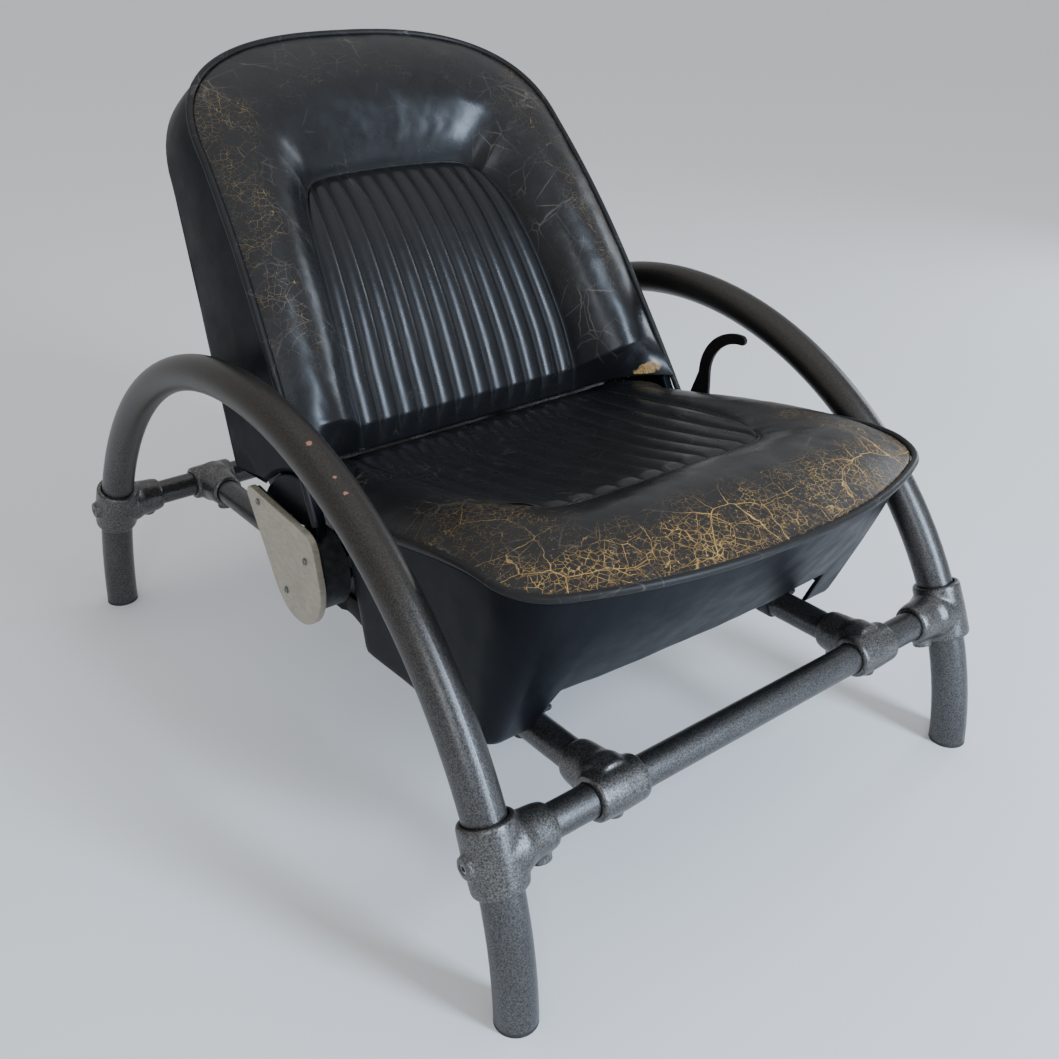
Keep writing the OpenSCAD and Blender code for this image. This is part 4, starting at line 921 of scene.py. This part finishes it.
def groove(place):
    """1 at the bottom of the channels and along the seam of the insert, where the leather is darkened as
    painted shade.
    """
    kind, a, b = place
    if kind == "ring":
        return smooth(1 - b / 0.05) if abs(a) >= 1 else 0.0
    if kind == "wall" or b < 1:
        return 0.0
    return max(smooth(1 - flute(a) / 0.5), smooth(1 - (ROWS - b) / 0.16))


PANEL_CAP, ROLL_CAP = 1.0, 5.0


def build_cushion(name, body, node, counts, parts, wear_at):
    points, faces, place = quilted(*counts, *parts)
    if body == "base":
        points = [settled(p) for p in points]
    obj = make_object(name, points, faces, LEATHER, body, node)
    inflate(obj, [sewn(p) for p in place], [PANEL_CAP if p[0] == "panel" else ROLL_CAP for p in place])
    worn = [wear_at(p, q) for p, q in zip(points, place)]
    for key, values in zip(("wear", "scuff", "torn"), zip(*worn)):
        attribute(obj, key, values)
    attribute(obj, "groove", [groove(q) for q in place])
    ripple(obj, 0.9, 24, [1.0 if q[0] == "ring" and abs(q[1]) > 1 else 0.15 for q in place])
    subdivide(obj)
    close_below(obj)


def blob(p, centre, radius):
    d = math.sqrt(sum((a - b) ** 2 for a, b in zip(p, centre)))
    return smooth(1 - d / radius)


def seat_wear(p, place):
    """Wear, scuffing and tears of the seat cover at a point in mm."""
    kind, a, b = place
    x, y, z = p
    if kind == "wall":
        return 0.0, 0.0, 0.0
    front = smooth((-y - 300) / 130)
    if kind == "ring":
        wear = front * lerp(0.32, 1.0, smooth((b - 0.3) / 0.55))
        wear = max(wear, 0.62 * smooth((-x - 120) / 80) * smooth((-y - 130) / 160))
        wear = max(wear, 0.66 * smooth((x - 160) / 60) * smooth((-y - 120) / 200))
    else:
        wear = 0.16 * front + 0.16 * smooth((-y - 60) / 200)
    scuff = 0.25 + 0.5 * blob(p, (-200, -60, 350), 190) + 0.25 * smooth((-y - 180) / 100)
    return min(1.0, wear), min(1.0, scuff), 0.0


def back_wear(p, place):
    """The same for the cover of the backrest."""
    kind, a, b = place
    if kind != "ring":
        return (0.06 if kind == "panel" else 0.0), 0.15, 0.0
    h, out = abs(a), smooth((b - 0.25) / 0.35)
    low = smooth((h - 1) / 2) * (1 - smooth((h - 10) / 5))
    if a < 0:
        wear = 0.47 * out * low
    else:
        wear = 0.42 * low * lerp(0.5, 1.0, out)
    top = smooth((h - 9) / 6)
    wear = max(wear, 0.30 * top * out)
    scuff = 0.2 + (0.35 * low if a < 0 else 0.5 * low) + 0.25 * top * out
    # a torn strip by the left lower corner, slanting down towards the middle
    u, v = p[0] - 249, p[2] - 371
    along, across = (u * 0.89 + v * 0.45) / 17, (v * 0.89 - u * 0.45) / 7.5
    torn = 1.0 - 0.5 * math.hypot(along, across) + 0.22 * fbm(p, 0.16) if h < 2.4 and a > 0 else 0.0
    return min(1.0, wear), min(1.0, scuff), clamp01(torn)


build_cushion("seat_cushion_leather", "base", "seat_cushion", (96, 88, 30, SEAT_LEVELS),
              (seat_panel, seat_ring, seat_wall, seat_foot), seat_wear)
build_cushion("backrest_cushion_leather", "backrest", "backrest_cushion", (96, 96, 34, BACK_LEVELS),
              (back_panel, back_ring, back_wall, back_foot), back_wear)


# --- seams and piping

def mirrored(half):
    return half + [(-p[0], p[1], p[2]) for p in reversed(half[:-1])]


def piping(name, path, radius, body, node=None, wear=0.3, sides=12):
    verts, faces = tube_mesh(path, radius, sides)
    obj = make_object(name, verts, faces, PIPING, body, node)
    for key, value in (("wear", wear), ("scuff", 0.6), ("torn", 0.0), ("groove", 0.0)):
        attribute(obj, key, [value] * len(verts))


WELT_R, WELT_IN, REAR_WELT_IN = 4.3, 1.9, 2.2


def seat_rim(t):
    o = seat_outline(t, WELT_IN)
    return o[0], o[1], seat_welt_z(o[1])


def back_rim(t):
    o = back_outline(t, WELT_IN)
    return back_point(o[0], o[1], 0.0)


def rear_rim(t):
    o = rear_outline(t, REAR_WELT_IN)
    return rear_point(o[0], o[1], 0.6)


def settled_path(path):
    return [settled(p) for p in path]


def insert_seam(panel, n=60):
    """Path around three sides of a fluted insert."""
    left = [panel(0, lerp(1.2, ROWS, k / n)) for k in range(n)]
    front = [panel(COLS * k / n, ROWS) for k in range(n + 1)]
    right = [panel(COLS, lerp(ROWS, 1.2, (k + 1) / n)) for k in range(n)]
    return left + front + right


piping("seat_piping_welt", settled_path(mirrored([seat_rim(lerp(0.02, 1, i / 110)) for i in range(111)])),
       WELT_R, "base", "seat_piping", 0.12)
piping("backrest_piping_welt", mirrored([back_rim(lerp(-0.015, 1, i / 130)) for i in range(131)]),
       WELT_R, "backrest", "backrest_piping", 0.1)
piping("seat_insert_welt", settled_path(insert_seam(seat_panel)), 2.1, "base", wear=0.35, sides=10)
piping("backrest_insert_welt", insert_seam(back_panel), 1.9, "backrest", wear=0.05, sides=10)


# --- upholstered skins

def band(name, loops, body, node, closed=True):
    """Leather through loops of equal counts, with the last loop joined to the first."""
    n = len(loops[0])
    lines = [[v * n + i % n for i in range(n + 1 if closed else n)] for v in range(len(loops))]
    faces = quads(lines + lines[:1], True)
    if not closed:
        faces += [[line[e] for line in lines] for e in (0, -1)]
    return make_object(name, sum(loops, []), faces, LEATHER_PLAIN, body, node)


SHELL_REAR_Y, SHELL_REAR_TOP, SHELL_REAR_LOW, APRON_Z, APRON_W = 56.0, 211.0, 186.0, 232.0, 199.0
# The skirt's loop is counted from mid rear: its rear corner, and the start of the flank
REAR_U, FLANK_U = 2, 7
HALF_SEAM = 26


def shell_point(u, e, f, sag=0.0):
    """Point of the seat's skirt: u along half a loop from mid rear, f = 0 top to 1 bottom."""
    if u < FLANK_U:
        x = lerp(SEAT_HALF_W - NOTCH_W - RIM_IN, BASE_REAR_W, 0.8) - e + RIM_IN
        z = lerp(SHELL_REAR_TOP, SHELL_REAR_LOW, f)
        if u < REAR_U:
            return x * u / REAR_U, SHELL_REAR_Y - e + RIM_IN, z
        return x, lerp(SHELL_REAR_Y, SIDE_Y, (u - REAR_U) / (FLANK_U - REAR_U)), z
    t = seat_t(u - FLANK_U)
    o, b = seat_outline(t, RIM_IN), base_outline(t, 0)
    apron = smooth((APRON_W + 8 - abs(b[0])) / 16) if t > 0.5 else 0.0
    side_low = lerp(SHELL_REAR_LOW, BASE_LOW_Z, smooth((-b[1] - 45) / 50))
    high = lerp(SHELL_REAR_TOP, seat_welt_z(o[1]) - RIM_DOWN, smooth((-o[1] - 86) / 14))
    z = lerp(high, lerp(side_low, APRON_Z, apron), f)
    x, y = seat_taper(t, e - sag * math.sin(math.pi * f), z)
    return x, y, z


def skirt():
    us = [0, 1, 1.7, 2.06] + [REAR_U + 5 * k / 14 for k in range(1, 14)]
    us += [FLANK_U + HALF_SEAM * k / 190 for k in range(191)]
    us = sorted(us + [17 + 5 * k / 60 for k in range(1, 60)])
    us = [us[0]] + [b for a, b in zip(us, us[1:]) if b - a > 0.02]
    levels = 34

    def loop(e, f, sag=0.0):
        right = [shell_point(u, e, f, sag) for u in us]
        return settled_path(right + [(-p[0], p[1], p[2]) for p in reversed(right[1:-1])])

    outer = [loop(RIM_IN, 0.0)] + [loop(RIM_IN, f / levels, 1.5) for f in range(1, levels)]
    hem = [loop(RIM_IN + 0.6, 0.994), loop(RIM_IN + 2.0, 1.0)]
    inner = [loop(RIM_IN + SHELL_WALL, f) for f in (1.0, 0.5, 0.0)]
    obj = band("seat_skirt_leather", outer + hem + inner, "base", "seat_base_shell")
    ripple(obj, 1.0, 12, stretch=(1, 1, 0.5))


def side_point(s, h, f, e, crown=0.0):
    """Point of the backrest's side: h along half the outline, f = 0 front to 1 rear."""
    out = crown * math.sin(math.pi * f)
    t = back_t(max(h, 0))
    o, g = back_outline(t, e - out), rear_outline(t, e - RIM_IN - out)
    p = mix(back_point(s * o[0], o[1], -RIM_DOWN), rear_point(s * g[0], g[1], 0), f)
    if h >= 1 or f >= 1:
        return p
    foot = on_arc(BACK_ARC + 0.5, lerp(WING - 3, ARC_FOOT + 16, f))
    o, g = back_outline(back_t(0), e), rear_outline(back_t(0), e - RIM_IN)
    first = (lerp(s * o[0], s * g[0], f), foot[0], foot[1])
    return first if h <= 0 else mix(first, side_point(s, 1.0, f, e, crown), h)


def side_panel():
    levels = 30
    hs = [0, 0.12, 0.3, 0.6, 0.8] + [1 + (HALF_SEAM - 1) * k / 110 for k in range(111)]

    def loop(e, f, crown=0.0):
        right = [side_point(-1, h, f, e, crown) for h in hs]
        return right + [side_point(1, h, f, e, crown) for h in reversed(hs[:-1])]

    outer = [loop(RIM_IN, k / levels, 2.5) for k in range(levels + 1)]
    inner = [loop(RIM_IN + SHELL_WALL, k / 3) for k in (3, 2, 1, 0)]
    obj = band("backrest_side_leather", outer + inner, "backrest", "backrest_side_panel", closed=False)
    ripple(obj, 1.1, 10)


def rear_board():
    """Rear board of the backrest: a flat pad, softly crowned, with its cover turned in at the edge."""
    edge, rows, cols, roll = SHELL_WALL + 3.0, 60, 40, 22
    outer = [rear_outline(back_t(HALF_SEAM * k / rows), edge) for k in range(rows + 1)]
    n = cols + 1
    pts, faces = [], []

    def grid(off_at):
        base = len(pts)
        for w, h in outer:
            for c in range(n):
                u = 2 * c / cols - 1
                rim = min(1.0, (1 - abs(u)) * max(w, 1) / roll, (REAR_LEN - 8 - h) / roll + 0.05,
                          (h + 2) / roll)
                pts.append(rear_point(w * u, h + 2 if h < 1 else h, off_at(max(0.0, rim))))
        faces.extend(quads([[base + r * n + c for c in range(n)] for r in range(rows + 1)]))
        return base

    a = grid(lambda rim: 1.5 - 3.5 * smooth(rim))
    b = grid(lambda rim: 4.5)
    border = [r * n for r in range(rows + 1)] + [rows * n + c for c in range(1, n)]
    border += [r * n + cols for r in range(rows - 1, -1, -1)] + list(range(cols - 1, -1, -1))
    faces += quads([[base + i for i in border] for base in (a, b)])
    obj = make_object("backrest_rear_board", pts, faces, LEATHER_PLAIN, "backrest", "back_panel")
    ripple(obj, 1.0, 9)


skirt()
side_panel()
rear_board()
piping("backrest_rear_welt", mirrored([rear_rim(back_t(HALF_SEAM * k / 110)) for k in range(111)]),
       2.4, "backrest", wear=0.1, sides=10)


# --- turned and cut solids

def lathe(bm, profile, matrix, n=56):
    """Solid of revolution about Z from (radius, z) points that begin and end on the axis."""
    rings = []
    for r, z in profile:
        spots = [(0, 0)] if r < 1e-6 else circle(r, n)
        rings.append([bm.verts.new(matrix @ Vector((x, y, z))) for x, y in spots])
    for a, b in zip(rings, rings[1:]):
        for k in range(n):
            k2 = (k + 1) % n
            if len(a) == 1:
                bm.faces.new((a[0], b[k], b[k2]))
            elif len(b) == 1:
                bm.faces.new((a[k], b[0], a[k2]))
            else:
                bm.faces.new((a[k], b[k], b[k2], a[k2]))


def sleeve_profile(r, length):
    h = length / 2
    return [(0, -h), (r - 3.2, -h), (r - 1.2, -h + 0.8), (r - 0.2, -h + 2.6), (r, -h + 6),
            (r + 0.6, 0), (r, h - 6), (r - 0.2, h - 2.6), (r - 1.2, h - 0.8), (r - 3.2, h), (0, h)]


def branch_profile(r, length, root):
    return [(0, 0), (r + 5, 0), (r + 5, root - 4), (r + 1.5, root + 5), (r + 0.5, length * 0.7),
            (r, length - 12), (r - 0.6, length - 7), (r - 1.6, length - 3), (r - 2.6, length - 0.8),
            (r - 3.6, length), (0, length)]


def pipe_profile(r, z0, z1):
    return [(0, z0), (r, z0), (r, z1), (0, z1)]


def turn(axis, deg):
    return Matrix.Rotation(math.radians(deg), 4, axis)


def bare_object(bm):
    return link("tool", store(bm, bpy.data.meshes.new("tool")))


def solid_object(parts):
    """Object made of solids of revolution: each part is a profile and its matrix."""
    bm = bmesh.new()
    for profile, matrix in parts:
        lathe(bm, profile, matrix)
    return bare_object(bm)


def box_object(low, high):
    bm = bmesh.new()
    for v in bmesh.ops.create_cube(bm, size=1)["verts"]:
        v.co = Vector([lerp(low[k], high[k], v.co[k] + 0.5) for k in range(3)])
    return bare_object(bm)


def cut_away(obj, tools):
    """Takes the tools out of the object, one by one."""
    for k, tool in enumerate(tools):
        m = obj.modifiers.new(f"cut_{k}", "BOOLEAN")
        m.operation = "DIFFERENCE"
        m.solver = "MANIFOLD"
        m.object = tool
    even = obj.modifiers.get("even_normals")
    if even:
        obj.modifiers.remove(even)
    bpy.context.view_layer.update()
    apply_modifiers(obj)
    for tool in tools:
        bpy.data.objects.remove(tool)


def casting_mesh(solids, cuts, boxes):
    """Blends the solids into one cast body with soft fillets, then bores it."""
    body = solid_object(solids)
    m = body.modifiers.new("remesh", "REMESH")
    m.mode = "VOXEL"
    m.voxel_size = 1.7
    s = body.modifiers.new("smooth", "SMOOTH")
    s.factor = 0.5
    s.iterations = 9
    bpy.context.view_layer.update()
    apply_modifiers(body)
    cut_away(body, [solid_object([c]) for c in cuts] + [box_object(*b) for b in boxes])
    mesh = body.data.copy()
    bpy.data.objects.remove(body)
    return mesh


# --- flat parts with rounded edges

def prism(outline, x0, x1, side):
    """Solid from an outline in (y, z), between two X stations."""
    bm = bmesh.new()
    face = bm.faces.new([bm.verts.new((side * x0 * MM, y * MM, z * MM)) for y, z in outline])
    for v in bmesh.ops.extrude_face_region(bm, geom=[face])["geom"]:
        if isinstance(v, bmesh.types.BMVert):
            v.co.x = side * x1 * MM
    bmesh.ops.recalc_face_normals(bm, faces=bm.faces[:])
    return bm


def even_normals(obj):
    """Weights the shading by face area, so that large flat faces look flat."""
    even = obj.modifiers.new("even_normals", "WEIGHTED_NORMAL")
    even.weight = 100
    even.keep_sharp = True


def slab(name, outline, span, side, bevel, material, body, node=None, segments=3, sharp_angle=35):
    """Plate from an outline in (y, z), between the two X stations of span, with rounded edges."""
    bm = prism(outline, *span, side)
    rim = [e for e in bm.edges if abs(e.verts[0].co.x - e.verts[1].co.x) < 1e-7]
    bmesh.ops.bevel(bm, geom=rim, offset=bevel * MM, segments=segments, profile=0.5, affect="EDGES",
                    clamp_overlap=True)
    obj = link(name, store(bm, bpy.data.meshes.new(name)))
    dress(obj, material, body, node, sharp_angle)
    even_normals(obj)
    return obj


def hull_of_discs(discs):
    """Convex outline around discs given as (y, z, radius)."""
    pts = []
    for y, z, r in discs:
        pts += circle(r, 72, y, z)
    pts = sorted(set((round(a, 5), round(b, 5)) for a, b in pts))

    def chain(seq):
        out = []
        for p in seq:
            while len(out) > 1 and ((out[-1][0] - out[-2][0]) * (p[1] - out[-2][1])
                                    - (out[-1][1] - out[-2][1]) * (p[0] - out[-2][0])) <= 0:
                out.pop()
            out.append(p)
        return out
    low, high = chain(pts), chain(pts[::-1])
    return low[:-1] + high[:-1]


# Discs of the casing's outline, in y, z and radius, and its screw holes in y and z
COVER = [(PIVOT[0] - 1, PIVOT[1] - 1, 58.0), (-48.0, 287.0, 24.0), (74.0, 311.0, 10.0)]
COVER_SPAN, COVER_INSIDE, COVER_WALL = (289.4, 297.95), (280, 296.2), 1.6
COVER_HOLES, HOLE_R, SHAFT_HOLE_R = [(56, 308), (-52, 276), (-1, 218)], 1.8, 7.0


def recliner_cover(side, tag):
    """Hollow casing, open towards the seat; the one on the left lets the lever's shaft through."""
    node = tag + "_recliner_cover"
    obj = slab(node + "_casing", hull_of_discs(COVER), COVER_SPAN, side, 1.3, SILVER, "backrest",
               node)
    inner = hull_of_discs([(y, z, r - COVER_WALL) for y, z, r in COVER])
    tools = [bare_object(prism(inner, *COVER_INSIDE, side))]
    holes = [(*at, HOLE_R) for at in COVER_HOLES] + ([(*PIVOT, SHAFT_HOLE_R)] if side > 0 else [])
    for y, z, r in holes:
        m = Matrix.Translation((side * 295 * MM, y * MM, z * MM)) @ turn("Y", 90) @ Matrix.Scale(MM, 4)
        tools.append(solid_object([(pipe_profile(r, -10, 10), m)]))
    cut_away(obj, tools)
    obj.data.shade_smooth()
    obj.data.set_sharp_from_angle(angle=math.radians(20))
    even_normals(obj)


LEVER_KNEE, LEVER_TURN, LEVER_R, LEVER_SWEEP = (-68.0, 345.0), (-69.0, 369.0), 61.0, 92.0
LEVER_W, LEVER_TIP_W, HUB_R = 9.5, 6.5, 15
LEVER_SPAN, HUB_SPAN = (300.7, 305.7), (300.7, 307.9)


def lever_outline():
    n = 26

    def edge(s):
        line = []
        for i in range(n + 1):
            a, w = LEVER_SWEEP * i / n, lerp(LEVER_W, LEVER_TIP_W, i / n)
            r = LEVER_R + s * w
            line.append((LEVER_TURN[0] - LEVER_R + r * cosd(a), LEVER_TURN[1] + r * sind(a)))
        return line

    front, rear = edge(1), edge(-1)
    mid = ((front[-1][0] + rear[-1][0]) / 2, (front[-1][1] + rear[-1][1]) / 2)
    tip = [(mid[0] + LEVER_TIP_W * cosd(a), mid[1] + LEVER_TIP_W * sind(a)) for a in range(110, 270, 20)]
    start = [(PIVOT[0] + 12, PIVOT[1] + 4)]
    end = [(LEVER_KNEE[0] - LEVER_W - 1, LEVER_KNEE[1] - 6), (PIVOT[0] - 12, PIVOT[1] - 4)]
    hub = [(PIVOT[0] + HUB_R * cosd(a), PIVOT[1] + HUB_R * sind(a)) for a in range(200, 390, 15)]
    return start + front + tip + rear[::-1] + end + hub


PAD_SPAN, PAD_R, PAD_INNER_R, PAD_STEPS = (267.2, 280.8), 112, 54, 20


def hinge_pad(side, tag):
    """Padded hinge cover at the foot of the backrest."""
    steps = [i / PAD_STEPS for i in range(PAD_STEPS + 1)]
    outer = [on_arc(PAD_R, lerp(ARC_FOOT, 92, f)) for f in steps]
    inner = [on_arc(PAD_INNER_R, lerp(118, 28, f)) for f in steps]
    node = tag + "_hinge_cover"
    slab(node + "_pad", outer + [(-29, 352), (-50, 315)] + inner, PAD_SPAN, side, 3.6, LEATHER_PLAIN,
         "backrest", node, 4, 40)


SIDES = ((1, "left"), (-1, "right"))
for x_sign, tag in SIDES:
    recliner_cover(x_sign, tag)
slab("recline_lever_bar", lever_outline(), LEVER_SPAN, 1, 1.4, LEVER_BLACK, "release_lever",
     "recline_lever", 4)
slab("recline_lever_hub", circle(HUB_R, 64, *PIVOT), HUB_SPAN, 1, 1.2, LEVER_BLACK, "release_lever")
for x_sign, tag in SIDES:
    hinge_pad(x_sign, tag)


# --- cast fittings

TEE_R, TEE_LEN, TEE_BORE, BRANCH_R, BAR_R = 28.0, 66.0, 22.5, 23.5, 16.85
ARCH_R, ARCH_X, BAR_Z, RAIL_X, ARCH_DROP = 477.0, 334.0, 167.0, 192.0, 5.0
BAR_Y = math.sqrt(ARCH_R ** 2 - (BAR_Z + ARCH_DROP) ** 2)
ARCH_LEAN = math.degrees(math.asin((BAR_Z + ARCH_DROP) / ARCH_R))
# Bosses and bores of the set screws, lengths of the branches and of the sleeve on the rail
BOSS_R, BOSS_OUT, SET_R, BAR_BORE = 11, 6, 5.05, BAR_R + 0.9
TEE_BRANCH, RAIL_BRANCH, RAIL_SLEEVE, FAR = 62, 58, 60, 90
TEE_SCREW_X, RAIL_SCREW_Y = -46, (0, 42)
I4 = Matrix.Identity(4)


def shift(x, y):
    return Matrix.Translation((x, y, 0))


def corner_mesh():
    solids = [(sleeve_profile(TEE_R, TEE_LEN), I4),
              (branch_profile(BRANCH_R, TEE_BRANCH, TEE_R), turn("Y", -90)),
              (pipe_profile(BOSS_R, 0, TEE_R + 5), turn("Y", 90)),
              (pipe_profile(BOSS_R, -BRANCH_R - BOSS_OUT, 0), shift(TEE_SCREW_X, 0))]
    cuts = [(pipe_profile(TEE_BORE, -80, 80), I4),
            (pipe_profile(BAR_BORE, 26.5, 100), turn("Y", -90)),
            (pipe_profile(SET_R, 10, 60), turn("Y", 90)),
            (pipe_profile(SET_R, -60, -10), shift(TEE_SCREW_X, 0))]
    return casting_mesh(solids, cuts, [((-FAR, -60, TEE_LEN / 2 - 0.4), (FAR, 60, 60))])


def rail_mesh():
    solids = [(sleeve_profile(BRANCH_R, RAIL_SLEEVE), turn("Y", 90)),
              (branch_profile(BRANCH_R, RAIL_BRANCH, BRANCH_R), turn("X", -90))]
    solids += [(pipe_profile(BOSS_R, -BRANCH_R - BOSS_OUT, 0), shift(0, y)) for y in RAIL_SCREW_Y]
    cuts = [(pipe_profile(BAR_BORE, -80, 80), turn("Y", 90)),
            (pipe_profile(BAR_BORE, 20.5, 100), turn("X", -90))]
    cuts += [(pipe_profile(SET_R, -60, -10), shift(0, y)) for y in RAIL_SCREW_Y]
    end = RAIL_SLEEVE / 2
    return casting_mesh(solids, cuts, [((end, -60, -60), (FAR, 60, 60)), ((-FAR, -60, -60), (-end, 60, 60))])


def place_casting(name, source, matrix, node):
    mesh = source.copy()
    mesh.transform(Matrix.Scale(MM, 4) @ matrix)
    if matrix.determinant() < 0:
        mesh.flip_normals()
    dress(link(name, mesh), CASTING, "base", node, 38)


CORNER_MESH, RAIL_MESH = corner_mesh(), rail_mesh()
for x_sign, tag in SIDES:
    for y_sign, end in ((-1, "front"), (1, "rear")):
        place = f"{end}_{tag}"
        flip = Matrix.Scale(-1, 4, (1, 0, 0)) if x_sign < 0 else I4
        m = Matrix.Translation((x_sign * ARCH_X, y_sign * BAR_Y, BAR_Z)) @ turn("X", y_sign * ARCH_LEAN)
        place_casting(place + "_corner_fitting", CORNER_MESH, m @ flip, place + "_tee")
        flip = Matrix.Scale(-1, 4, (0, 1, 0)) if y_sign > 0 else I4
        m = Matrix.Translation((x_sign * RAIL_X, y_sign * BAR_Y, BAR_Z)) @ flip
        place_casting(place + "_rail_fitting", RAIL_MESH, m, place + "_rail_tee")


# --- the CAD nodes that stay

def paint(material, *names):
    """Gives CAD nodes their material; a name that begins with _ is a pair, left and right."""
    for name in names:
        pair = [tag + name for _, tag in SIDES] if name.startswith("_") else [name]
        for node in pair:
            coat(NODES[node].data, material)


paint(TUBE, "left_arch_tube", "front_cross_tube", "rear_cross_tube", "_rail_tube")
paint(TUBE_CHIPPED, "right_arch_tube")
paint(RUBBER, "foot_plugs")
paint(STEEL, "set_screws", "strap_bolts", "bracket_bolts", "_pivot_bolt", "pivot_nuts", "cover_screws",
      "hinge_bolts", "release_shaft", "lever_nut", "_friction_disc")
paint(SPRING, "_clock_spring", "lever_spring")
paint(DARK_STEEL, "seat_frame", "front_pedestals", "rear_pedestals", "pipe_straps", "_hinge_bracket",
      "_recliner_housing", "_recliner_arm", "_side_plate", "backrest_frame")
paint(WEBBING, "seat_webbing", "backrest_webbing")
